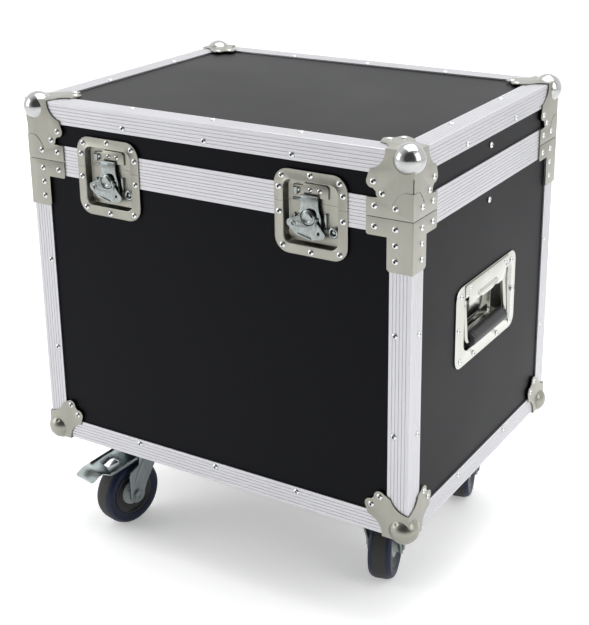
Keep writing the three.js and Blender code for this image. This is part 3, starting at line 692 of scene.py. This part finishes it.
def pressed(rings, name):
    """A closed solid through rings of equal point counts, each (outline, height)."""
    outline, height = rings[0]
    piece = solid_from(outline, rings[1][1] - height, name)
    piece.data.transform(Matrix.Translation((0, 0, height)))
    count = len(outline)
    for index, (outline, height) in enumerate(rings[1:], 1):
        if index > 1:
            bpy.ops.object.mode_set(mode="EDIT")
            bpy.ops.mesh.extrude_region_move(TRANSFORM_OT_translate={"value": (0, 0, 1)})
            bpy.ops.object.mode_set(mode="OBJECT")
        chosen = sorted((v.index for v in piece.data.vertices), reverse=True)[:count]
        for vertex in piece.data.vertices:
            vertex.select = vertex.index in chosen
        for edge in piece.data.edges:
            edge.select = all(i in chosen for i in edge.vertices)
        for polygon in piece.data.polygons:
            polygon.select = all(i in chosen for i in polygon.vertices)
        for step, (x, y) in enumerate(outline):
            piece.data.vertices[len(piece.data.vertices) - count + step].co = (x, y, height)
    face_outwards()
    return piece


def pressed_dish(width, height, corner, hole, hole_corner, hole_up, face_n, depth, name):
    """A flanged dish from one sheet, as rings from the back of its floor, over the flange, inside."""
    w, h = hole
    back = rounded(w + 3, h + 3, hole_corner + 1.5, hole_up)
    grown = [(3.4, face_n), (2.4, face_n + 0.35), (1, face_n), (0, face_n - 1.2)]
    flange = rounded(width, height, corner)
    rings = [(back, -depth - 1.5), (back, face_n - 1.5)]
    rings += [(flange, face_n - 1.5), (flange, face_n - 0.5)]
    rings.append((rounded(width - 1, height - 1, corner - 0.5), face_n))
    rings += [(rounded(w + g, h + g, hole_corner + g / 2, hole_up), n) for g, n in grown]
    for shrink, n in ((-1.2, 1.6 - depth), (-2.4, 0.5 - depth), (-5, -depth)):
        rings.append((rounded(w + shrink, h + shrink, hole_corner + shrink / 2, hole_up), n))
    return pressed(rings, name)


def halved(piece, keep_above, at, name):
    """The part of a solid above or below a height in y, closed where it was cut."""
    half = copy_of(piece, name)
    select_only(half)
    bpy.ops.object.mode_set(mode="EDIT")
    bpy.ops.mesh.select_all(action="SELECT")
    bpy.ops.mesh.bisect(
        plane_co=(0, at, 0),
        plane_no=(0, 1, 0),
        use_fill=True,
        clear_inner=keep_above,
        clear_outer=not keep_above,
    )
    face_outwards()
    return half


def raised(piece, x, y, z, turn=0.0, axis="Z"):
    """Moves a drawn piece within its own drawing."""
    moved = Matrix.Translation((x, y, z))
    piece.data.transform(moved @ Matrix.Rotation(math.radians(turn), 4, axis))
    return piece


def bent_rod(points, radius, bend, name, sides=12):
    """Round rod through points, with a bend of its own radius at each."""
    path = [Vector(points[0])]
    for before, here, after in zip(points, points[1:], points[2:]):
        here = Vector(here)
        a = here + (Vector(before) - here).normalized() * bend
        b = here + (Vector(after) - here).normalized() * bend
        for t in (0, 0.2, 0.4, 0.6, 0.8, 1):
            path.append((1 - t) ** 2 * a + 2 * t * (1 - t) * here + t * t * b)
    path.append(Vector(points[-1]))
    data = bpy.data.curves.new(name, "CURVE")
    data.dimensions, data.bevel_depth, data.use_fill_caps = "3D", radius, True
    data.bevel_resolution = sides // 4
    line = data.splines.new("POLY")
    line.points.add(len(path) - 1)
    for point, place in zip(line.points, path):
        point.co = (*place, 1)
    rod = bpy.data.objects.new(name, data)
    bpy.context.scene.collection.objects.link(rod)
    select_only(rod)
    bpy.ops.object.convert(target="MESH")
    rod = bpy.context.object
    face_outwards()
    return rod


def plate_solid(outline, low, high, name, edge=0.3):
    """A flat plate between two heights, its edges just broken."""
    piece = solid_from(outline, high - low, name)
    if edge:
        bevel(piece, edge, 2)
    return raised(piece, 0, 0, low)


DRUM = (-5, -5)
ALONG_X = Matrix.Rotation(math.radians(90), 4, "Y")  # lays a turned piece along x
latch_dish = pressed_dish(104, 109, 20, (77, 81), 10, 0, PLATE_OUT, DISH_DEPTH, "dish")
lower_dish = halved(latch_dish, False, LATCH_CUT, "lower_dish")
upper_dish = halved(latch_dish, True, LATCH_CUT + GAP, "upper_dish")
bpy.data.objects.remove(latch_dish)

# A small welded eye for a padlock, a hook guide and the wire of the keeper's spring.
EYE_R, EYE_WIRE = 5.6, 1.7
eye_angles = [i * math.pi / 5 for i in range(10)]
eye_line = [(EYE_R + EYE_WIRE * math.cos(a), EYE_WIRE * math.sin(a)) for a in eye_angles]
eye = raised(turned(eye_line, "eye", 20), 0, 0, 3.6)
eye_foot = plate_solid(rounded(15, 13, 4), 0, 1.2, "eye_foot")
stud = turned([(0, 0), (2, 0), (2, 3), (0, 3)], "stud", 6)
padlock_eye = joined([eye, eye_foot, stud], "eye")
raised(padlock_eye, 28, -21, -DISH_DEPTH)
guides = [plate_solid(rounded(3, 18, 1.2), -DISH_DEPTH - 0.1, -6.9, "guide") for _ in range(2)]
raised(guides[0], DRUM[0] - 23.5, -13, 0)
raised(guides[1], DRUM[0] + 21, -8, 0)
lower_works = [padlock_eye, *guides]

keeper_outline = [(-30, 19), (20, 19), (20, 33), (17, 36), (-14, 36), (-17, 32.5), (-30, 32.5)]
keeper_plate = plate_solid(keeper_outline, -DISH_DEPTH - 0.1, -8, "keeper")
lip = plate_solid([(-16, 19), (6, 19), (6, 21), (-16, 21)], -8.4, -6.6, "lip", 0.5)
curl = turned([(1.5, 0), (3.1, 0), (3.1, 9), (1.5, 9)], "curl", 16)
curl.data.transform(Matrix.Rotation(math.radians(-90), 4, "X"))
raised(curl, -25.5, 21.5, -6.2)
wire = bent_rod([(-31, 15.2, -8.6), (-16, 15.2, -8.6), (-13, 18, -8.8)], 0.75, 1.5, "wire", 8)
wire_two = bent_rod([(-31, 13.4, -8.6), (-20, 13.4, -8.6), (-18, 18, -8.8)], 0.75, 1.5, "wire", 8)
upper_works = [lip, curl, wire, wire_two]

# The hook: a tall plate with a curled top and turned-back sides, slotted round the drum's neck.
hook_points = [(-21, -25), (11, -25), (11, -5), (8.4, 3), (7.3, 9), (7.3, 21), (-17.3, 21)]
hook_points += [(-17.3, 9), (-18.4, 3), (-21, -5)]
hook_plate = plate_solid(hook_points, -6, -4.4, "hook", 0)
slot_points = arc(DRUM[0], DRUM[1], 6.6, 0, 180, 10) + arc(DRUM[0], DRUM[1] - 8, 6.6, 180, 360, 10)
slot = solid_from(slot_points, 6, "slot")
combine(hook_plate, raised(slot, 0, 0, -9), "DIFFERENCE")
bevel(hook_plate, 0.3, 2)
hook_curl = turned([(0, 0), (1.15, 0), (1.15, 23.6), (0, 23.6)], "curl", 14)
hook_curl.data.transform(ALONG_X)
raised(hook_curl, -16.8, 21.3, -4.45)
sides = []
for x0, x1 in ((-21, -19.6), (9.6, 11)):
    side = plate_solid([(x0, -24.5), (x1, -24.5), (x1, -5.5), (x0, -5.5)], -7.6, -4.8, "side", 0.3)
    sides.append(side)
hook = joined([hook_plate, hook_curl, *sides], "hook")

# The drum: a stepped head that a key or thumb turns, over a neck, with the wing's pin through it.
drum_line = [(0, -9.4), (6, -9.4), (6, -3.6), (9, -3.6), (9.5, -3.1), (9.5, -0.7), (9.0, -0.2)]
drum_line += [(7.9, 0.1), (7.4, 0.2), (7.4, 1.5), (6.9, 2.0), (6.6, 2.3), (6.1, 2.5), (5.7, 2.2)]
drum_line.append((0, 2.2))
drum_head = turned(drum_line, "drum", 32)
pin = turned([(0, -13.2), (1.2, -13.2), (1.2, 13.2), (0, 13.2)], "pin", 12)
pin.data.transform(ALONG_X)
drum = joined([drum_head, raised(pin, 0, 0, -1.3)], "drum")

# The wing: a butterfly-shaped plate with two finger lobes, rolled round the pin at its ends.
wing_points = [(-13, -1.7), (-16.4, -4.4), *arc(-22.5, -15.4, 5.4, 145, 240, 8)]
wing_points += [*arc(-10, -22.6, 5, 215, 270, 5), *arc(10, -22.6, 5, 270, 325, 5)]
wing_points += [*arc(22.5, -15.4, 5.4, 300, 395, 8), (16.4, -4.4), (13, -1.7)]
wing_points += arc(0, 0, 10.6, -8, -172, 14)
wing = plate_solid(wing_points, -2.1, -0.5, "wing", 0)
for x in (-18.6, 18.6):
    hole = turned([(0, -5), (2.1, -5), (2.1, 5), (0, 5)], "hole", 16)
    combine(wing, raised(hole, x, -15, 0), "DIFFERENCE")
bevel(wing, 0.35, 2)
rim = turned([(2.1, 0), (3.9, 0), (3.9, 0.5), (3.2, 0.9), (2.4, 0.9), (2.1, 0.5)], "rim", 20)
fold = plate_solid([(-11, -27.2), (11, -27.2), (10, -24.4), (-10, -24.4)], -0.7, 0.5, "fold", 0.5)
barrels = []
for x in (-13, 10.4):
    barrel = turned([(1.35, 0), (2.1, 0), (2.1, 2.6), (1.35, 2.6)], "barrel", 14)
    barrel.data.transform(ALONG_X)
    barrels.append(raised(barrel, x, 0, -1.3))
wing = joined([wing, raised(rim, -18.6, -15, -0.6), fold, *barrels], "wing")

for side, x in (("left", -LATCH_X), ("right", LATCH_X)):
    at = on_face("front", x, LATCH_Z)
    turn = at @ Matrix.Translation((*DRUM, 0)) @ Matrix.Rotation(math.radians(-13), 4, "Z")
    for drawing, name, body, stands_for in (
        (lower_dish, f"latch_dish_{side}", "base", [f"latch_lower_dish_{side}"]),
        (upper_dish, f"latch_upper_dish_{side}", "lid", [f"latch_keeper_dish_{side}"]),
        (keeper_plate, f"latch_keeper_plate_{side}", "lid", []),
    ):
        fit(lay(copy_of(drawing, name), at), body, satin_steel, stands_for)
    for drawings, name, body in (
        (lower_works, f"padlock_eye_{side}", "base"),
        (upper_works, f"latch_keeper_{side}", "lid"),
    ):
        fit(assembled(drawings, [at], name), body, blue_zinc)
    for drawing, name, matrix in ((hook, "hook", at), (drum, "drum", turn), (wing, "wing", turn)):
        piece = lay(copy_of(drawing, f"latch_{name}_plate_{side}"), matrix)
        fit(piece, f"latch_{name}_{side}", blue_zinc, [f"latch_{name}_{side}"])
    for u, v in ((41, 45), (-41, 45), (0, 49.5), (45.5, 30), (-45.5, 30)):
        rivets["lid"].append(at @ Matrix.Translation((u, v, PLATE_OUT)))
    for u, v in ((41, -45), (-41, -45), (0, -49), (45.5, -2), (-45.5, -2)):
        rivets["base"].append(at @ Matrix.Translation((u, v, PLATE_OUT)))
    for u, v, n in ((-6, 28, -8), (7.5, 28, -8), (-24.5, 27, -8.3)):
        rivets["lid"].append(at @ Matrix.Translation((u, v, n)) @ Matrix.Scale(0.85, 4))
discard((lower_dish, upper_dish, keeper_plate, *lower_works, *upper_works, hook, drum, wing))

# ---- Side handles --------------------------------------------------------------------------
# A drop handle in a deep pressed dish, let into the side wall with its flange flush under the
# profiles. A doubled cover plate holds the bail's rod; a spring inside it folds the bail flat.
HANDLE_Z, HANDLE_FACE, HANDLE_DEPTH = UNDER + 238, -0.2, 25.5
bright_steel = plated_metal(
    "polished_handle_plate", "#a3a49d", "#bdbeb8", (0.14, 0.22), 0.04, (1, 1, 0.5)
)
handle_dish = pressed_dish(
    194, 114, 16, (144, 81), 12, 2.5, HANDLE_FACE, HANDLE_DEPTH, "handle_dish"
)
cover_points = [(-60, 24.5), (-31, 24.5), (-29, 26.5), (-20, 26.5), (-18, 24.5), (18, 24.5)]
cover_points += [(20, 26.5), (29, 26.5), (31, 24.5), (60, 24.5), (60, 38.5), (71, 38.5), (71, 54), (69, 56)]
cover_points += [(-69, 56), (-71, 54), (-71, 38.5), (-60, 38.5)]
cover = plate_solid(cover_points, HANDLE_FACE - 0.1, HANDLE_FACE + 1.4, "cover", 0.5)
bead_line = [(0, -31), (3, -30.4), (4.3, -28), (4.3, 28), (3, 30.4), (0, 31)]
bead = turned(bead_line, "bead", 20)
bead.data.transform(Matrix.Translation((0, 32.5, HANDLE_FACE - 0.6)) @ ALONG_X)
clamp_line = [(3.9, -58), (4.9, -58), (4.9, 58), (3.9, 58)]
clamp = turned(clamp_line, "clamp", 24)
clamp.data.transform(Matrix.Translation((0, 31, -5.5)) @ ALONG_X)
combine(clamp, box_tool((-70, 31, -20), (70, 50, 20)), "DIFFERENCE")
pad_points = [(-58, -30), (58, -30), (58, -19), (-58, -19)]
inner_bar = plate_solid(pad_points, -HANDLE_DEPTH - 0.1, -HANDLE_DEPTH + 1.6, "pad", 0.6)
handle_fixed = [handle_dish, cover, bead, clamp, inner_bar]

ARM, REACH, ROD = 64, 57.6, 3.5
bail_points = [(-28, 0, 0), (-ARM, 0, 0), (-ARM, -REACH, 0)]
bail_points += [(-x, y, z) for x, y, z in reversed(bail_points)]
bail = bent_rod(bail_points, ROD, 9, "bail", 16)
grip_line = [(3.8, -55), (8.2, -55), (9.4, -54.2), (9.9, -52), (9.9, -49.5), (9.5, -49)]
grip_line += [(9.5, -48.4), (10, -48)]
grip_line += [(r, -h) for r, h in reversed(grip_line)]
grip = turned(grip_line, "grip", 36)
grip.data.transform(Matrix.Translation((0, -REACH, 0)) @ ALONG_X)


# Moulded soft black rubber is dark and half matt, with a pebbled skin about 1 mm across.
tones, bump = ("#0e0f12", "#17181c"), (0.2, 0.0003)
grip_rubber = clouded(
    "moulded_black_rubber", tones, (0.4, 0.55), (60, 4), (900, 0), bump, pebbled=True, IOR=1.5
)
for side in ("left", "right"):
    at = on_face(side, 0, HANDLE_Z)
    fixed = assembled(handle_fixed, [at], f"handle_housing_{side}")
    fit(fixed, "base", bright_steel, [f"handle_dish_{side}"])
    hung = at @ Matrix.Translation((0, 31, -5.5)) @ Matrix.Rotation(math.radians(-4), 4, "X")
    rod = lay(copy_of(bail, f"handle_rod_{side}"), hung)
    stands_for = [f"handle_bail_{side}"]
    fit(rod, f"handle_{side}", bright_steel, stands_for, angle=50)
    hand = lay(copy_of(grip, f"handle_rubber_{side}"), hung)
    fit(hand, f"handle_{side}", grip_rubber, [f"handle_grip_{side}"])
    for u, v in ((82, 44), (89, -1), (82, -47), (39, -51)):
        for sign in (1, -1):
            rivets["base"].append(at @ Matrix.Translation((sign * u, v, HANDLE_FACE)))
    for u, v in ((-58, 50), (7, 50), (58, 50), (-66, 43), (66, 43)):
        place = at @ Matrix.Translation((u, v, HANDLE_FACE + 1.4))
        rivets["base"].append(place @ Matrix.Scale(0.75, 4))
discard((*handle_fixed, bail, grip))

# The pins carry the near-black painted shade of the rivets' pits.
rivet_halves = ((rivet_head, "rivet_heads", rivet_steel), (rivet_pin, "rivet_pins", pit_shade_paint))
for body, places in rivets.items():
    for drawing, name, material in rivet_halves:
        row = assembled([drawing], places, f"{body}_{name}")
        fit(row, body, material, angle=35)
discard((rivet_head, rivet_pin))

# ---- Swivel castors ------------------------------------------------------------------------
# 100 mm castors under a plywood board: a bolted plate, a ball race and a pressed zinc fork. The
# wheel is a grey nylon centre with a blue elastic tyre, worn dark on its tread.
TRAIL, AXLE_Z, FORK_TOP, CROWN_Z = 36, 50, 133.4, 119.4
castor_zinc = plated_metal(
    "dull_blue_zinc_fork", "#666e6f", "#a0a8a9", (0.22, 0.36), 0.03, (1, 1, 0.35)
)


def moulded(name, dark, light, rough, cloud_size, ior=1.5):
    """A moulded plastic or rubber with soft wear clouds and a fine skin."""
    tones, cloud = (dark, light), (1 / cloud_size, 5)
    return clouded(name, tones, rough, cloud, (700, 2), (0.2, 0.0003), IOR=ior)


tyre_blue = moulded("blue_elastic_rubber", "#030d27", "#061636", (0.4, 0.55), 0.012, 1.4)
tread_dark = moulded("worn_rubber_tread", "#1c1c1d", "#2c2b28", (0.6, 0.8), 0.006)
rim_black = moulded("black_rim_ring", "#08090b", "#101114", (0.35, 0.5), 0.01)
hub_grey = moulded("grey_nylon_centre", "#8f9695", "#a9b0ae", (0.35, 0.5), 0.02)

AXLE_TURN = Matrix.Translation((0, -TRAIL, AXLE_Z)) @ ALONG_X
# Each ring is a line of (radius, distance along the axle), drawn on one side and on the other.
shoulder = [(33.5, 13), (37, 15.6), (42, 16.6), (45.6, 16.2), (48.4, 13.2), (49.3, 9.6)]
tyre_line = shoulder + [(r, -h) for r, h in reversed(shoulder)]
band_line = [(49.0, 9.4), (49.8, 9.0), (50, 7.5), (50, -7.5), (49.8, -9.0), (49.0, -9.4)]
ring_half = [(18.5, 11.2), (20, 12.2), (25, 11.4), (29, 12.6), (31, 14.6), (33.8, 14.2)]
ring_line = ring_half + [(r, -h) for r, h in reversed(ring_half)]
hub_half = [(5.3, 20.2), (9.5, 20.2), (11, 18.8), (12, 13.6), (14, 12.8), (16.5, 12.9)]
hub_half += [(18.6, 13.4), (19.3, 12.6)]
hub_line = hub_half + [(r, -h) for r, h in reversed(hub_half)]
wheel_parts = []
for line, name, material, slot_name in (
    (tyre_line, "tyre", tyre_blue, "wheel"),
    (band_line, "tread", tread_dark, "wheel"),
    (ring_line, "rim_ring", rim_black, "wheel"),
    (hub_line, "hub", hub_grey, "wheel"),
):
    ring = turned(line, name, 56)
    ring.data.transform(AXLE_TURN)
    wheel_parts.append((ring, name, material, slot_name))

# A fork leg is pressed sheet: wide at the crown, narrow at the axle, with a pressed-out rib.
IN_PLANE = Matrix(((0, 0, 1, 0), (1, 0, 0, 0), (0, 1, 0, 0), (0, 0, 0, 1)))
leg_points = [(24, FORK_TOP - 9), (-24, FORK_TOP - 9), (-26, 113), (-30, 98), (-39, 94), (-46, 90)]
leg_points += [(-49.6, 84), *arc(-TRAIL, AXLE_Z, 13.6, 170, 368, 14)]
leg_points += [(-16, 66), (4, 96), (16, 108), (20, 112)]


def fork_leg(x0, outward):
    """One leg of the fork, in the wheel's frame, with a rib drawn out of it."""
    leg = plate_solid(leg_points, x0, x0 + 3, "leg", 0.5)
    rib_points = [(-4, 114), (-16, 112), (-34, 88), (-40, 74), (-38, 66), (-30, 66), (0, 100)]
    rib_low, rib_high = (x0 + 2.6, x0 + 4.1) if outward > 0 else (x0 - 1.1, x0 + 0.4)
    rib = plate_solid(rib_points, rib_low, rib_high, "rib", 0.9)
    for part in (leg, rib):
        part.data.transform(IN_PLANE)
    return [leg, rib]


crown_line = [(0, CROWN_Z), (31, CROWN_Z), (34, 120.6), (34, 123), (32.5, 124.4), (26, 124.4)]
crown_line.append((0, 124.4))
fork_parts = [turned(crown_line, "crown", 40), *fork_leg(21.5, 1), *fork_leg(-24.5, -1)]
axle_line = [(0, -27.4), (2.2, -27.4), (2.8, -26.9), (5, -26.7)]
axle_line += [(r, -h) for r, h in reversed(axle_line)]
fork_parts.append(turned(axle_line, "axle", 16))
fork_parts[-1].data.transform(AXLE_TURN)
for side in (-1, 1):
    washer = turned([(5, 24.6), (9.5, 24.6), (9.5, 25.5), (5, 25.5)], "washer", 24)
    nut = turned([(5, 25.4), (7.6, 25.4), (7.9, 25.8), (7.9, 27), (5, 27)], "nut", 6)
    for part in (washer, nut):
        part.data.transform(AXLE_TURN @ Matrix.Diagonal((1, 1, side, 1)))
        if side < 0:
            part.data.flip_normals()
        fork_parts.append(part)
race_line = [(0, 124.8), (22, 124.8), (27, 126.4), (27, 131.5), (24, 132.6), (20, 133.8)]
race_line.append((0, 133.8))
top_plate = plate_solid(rounded(75, 95, 10), 133.7, 136.7, "plate", 0.6)
plate_parts = [turned(race_line, "race", 40), top_plate]
bolt_line = [(0, 130.2), (4.6, 130.2), (5.6, 131), (5.6, 133.8), (0, 133.8)]
for bx in (-29, 29):
    for by in (-39, 39):
        plate_parts.append(raised(turned(bolt_line, "bolt", 6), bx, by, 0))

# The brake pedal: a bent plate with a short tapered hole, raised sides and a turned-up pad.
PEDAL_PIN = (-14, 110.4)
spine = [(-29, 111.0), (-48, 107.6), (-74, 103.8), (-86, 103.2), (-92, 105.4), (-97, 106.6)]
spine += [(-103, 105.6), (-110, 101.8), (-116, 99.4)]
pedal_side = [*spine, *[(y, z + 2) for y, z in reversed(spine)]]
pedal_plate = plate_solid(pedal_side, -26, 26, "pedal", 0)
pedal_plate.data.transform(IN_PLANE)
plan = [(-19, -13), (-19, -30), (-26, -35), (-26, -86), (-23, -92), (-20, -95), (-20, -113)]
plan.append((-17, -117))
plan += [(-x, y) for x, y in reversed(plan)]
combine(pedal_plate, raised(solid_from(plan, 60, "plan"), 0, 0, 80), "INTERSECT")
window = [(-7, -55), (7, -55), (9, -59), (5.5, -75), (-5.5, -75), (-9, -59)]
combine(pedal_plate, raised(solid_from(window, 60, "window"), 0, 0, 80), "DIFFERENCE")
bevel(pedal_plate, 0.35, 2)
pedal_parts = [pedal_plate]
rail = [(-34, 109.6), (-48, 106.8), (-74, 103), (-86, 102.6), (-84, 106.4), (-74, 107.6)]
rail += [(-48, 111.2), (-36, 113)]
for side in (-1, 1):
    edge_rail = plate_solid(rail, side * 25 - 1, side * 25 + 1, "rail", 0.5)
    edge_rail.data.transform(IN_PLANE)
    pedal_parts.append(edge_rail)
neck = plate_solid([(-14, 108.5), (-31, 110.8), (-31, 113), (-14, 115.5)], -19, 19, "neck", 0.4)
neck.data.transform(IN_PLANE)
combine(neck, raised(box_tool((-16, -20, -30), (16, 20, 30)), 0, -24, 110), "DIFFERENCE")
eye_tube = turned([(3.3, -19), (5.5, -19), (5.5, 19), (3.3, 19)], "eye", 24)
eye_tube.data.transform(Matrix.Translation((0, *PEDAL_PIN)) @ ALONG_X)
pedal_parts += [neck, eye_tube]
brake_pin = turned([(0, -24.6), (3, -24.6), (3, 24.6), (0, 24.6)], "pin", 16)
brake_pin.data.transform(Matrix.Translation((0, *PEDAL_PIN)) @ ALONG_X)
pedal_zinc = plated_metal("bright_zinc_pedal", "#838c8d", "#b0b9ba", (0.16, 0.26), 0.035)

HEADINGS = {"front_left": -11.5, "front_right": 195.5, "rear_left": -168.5, "rear_right": 195.5}
for corner, heading in HEADINGS.items():
    sx, sy = CORNERS[corner]
    at = Matrix.Translation((sx * (HALF_X - 90.5), sy * (HALF_Y - 98), 0))
    trailing = at @ Matrix.Rotation(math.radians(heading), 4, "Z")
    braked = corner.endswith("left")
    mount = assembled(plate_parts, [at], f"castor_mount_{corner}")
    fit(mount, "base", castor_zinc, [f"castor_plate_{corner}"])
    parts = [*fork_parts, brake_pin] if braked else fork_parts
    fork = assembled(parts, [trailing], f"castor_fork_pressing_{corner}")
    fit(fork, f"castor_{corner}", castor_zinc, [f"castor_fork_{corner}"])
    for index, (drawing, name, material, slot_name) in enumerate(wheel_parts):
        part = lay(copy_of(drawing, f"castor_{name}_{corner}"), trailing)
        stands_for = [f"castor_wheel_{corner}"] if index == 0 else []
        fit(part, f"wheel_{corner}", material, stands_for)
    if braked:
        pedal = assembled(pedal_parts, [trailing], f"brake_lever_{corner}")
        fit(pedal, f"pedal_{corner}", pedal_zinc, [f"castor_pedal_{corner}"])
discard((*plate_parts, *fork_parts, brake_pin, *pedal_parts, *[part[0] for part in wheel_parts]))

# ---- Castor board --------------------------------------------------------------------------
# 18 mm birch plywood, screwed under the case to spread the castors' load. Its faces are black
# film and its sawn edges are painted black, with the ply layers just showing through.
board_material, tree, out = new_material("painted_plywood_board")
place = node(tree, "ShaderNodeTexCoord").outputs["Object"]
layers = node(tree, "ShaderNodeMapping", [("Vector", place)], Scale=(0.05, 0.05, 1))
stretched = [("Vector", layers.outputs["Vector"])]
bands = node(tree, "ShaderNodeTexNoise", stretched, Scale=420, Detail=1)
tint = node(tree, "ShaderNodeMix", [("Factor", bands.outputs["Fac"])], data_type="RGBA")
tint.inputs[6].default_value = linear("#141312")
tint.inputs[7].default_value = linear("#262320")
ridge = node(tree, "ShaderNodeBump", [("Height", bands.outputs["Fac"])], Strength=0.3)
ridge.inputs["Distance"].default_value = 0.0003
links = [("Base Color", tint.outputs[2]), ("Normal", ridge.outputs["Normal"])]
shade = node(tree, "ShaderNodeBsdfPrincipled", links, Roughness=0.6)
tree.links.new(shade.outputs["BSDF"], out.inputs["Surface"])
finish_node("castor_board", board_material)

# ---- Back hinge and lid stays --------------------------------------------------------------
# A piano-type hinge in plated steel, riveted to both closing profiles, and two pairs of zinc
# links inside that stop the lid when it stands upright.
for name in ("hinge_base_leaf", "hinge_lid_leaf"):
    finish_node(name, satin_steel)
for side in ("left", "right"):
    finish_node(f"stay_lower_link_{side}", blue_zinc)
    finish_node(f"stay_upper_link_{side}", blue_zinc)
screw_line = [(0, 1.5), (3.6, 1.5), (3.6, 1.9), (2.6, 2.6), (1.3, 2.9), (0, 2.9)]
screw = turned(screw_line, "screw", 16)
combine(screw, box_tool((-2.2, -0.35, 2.3), (2.2, 0.35, 4)), "DIFFERENCE")
for body, z in (("base", SPLIT - 19), ("lid", LID_UNDER + 19)):
    places = [on_face("back", u, z) for u in range(-200, 201, 50)]
    screws = assembled([screw], places, f"{body}_hinge_screws")
    fit(screws, body, rivet_steel)
discard([screw])
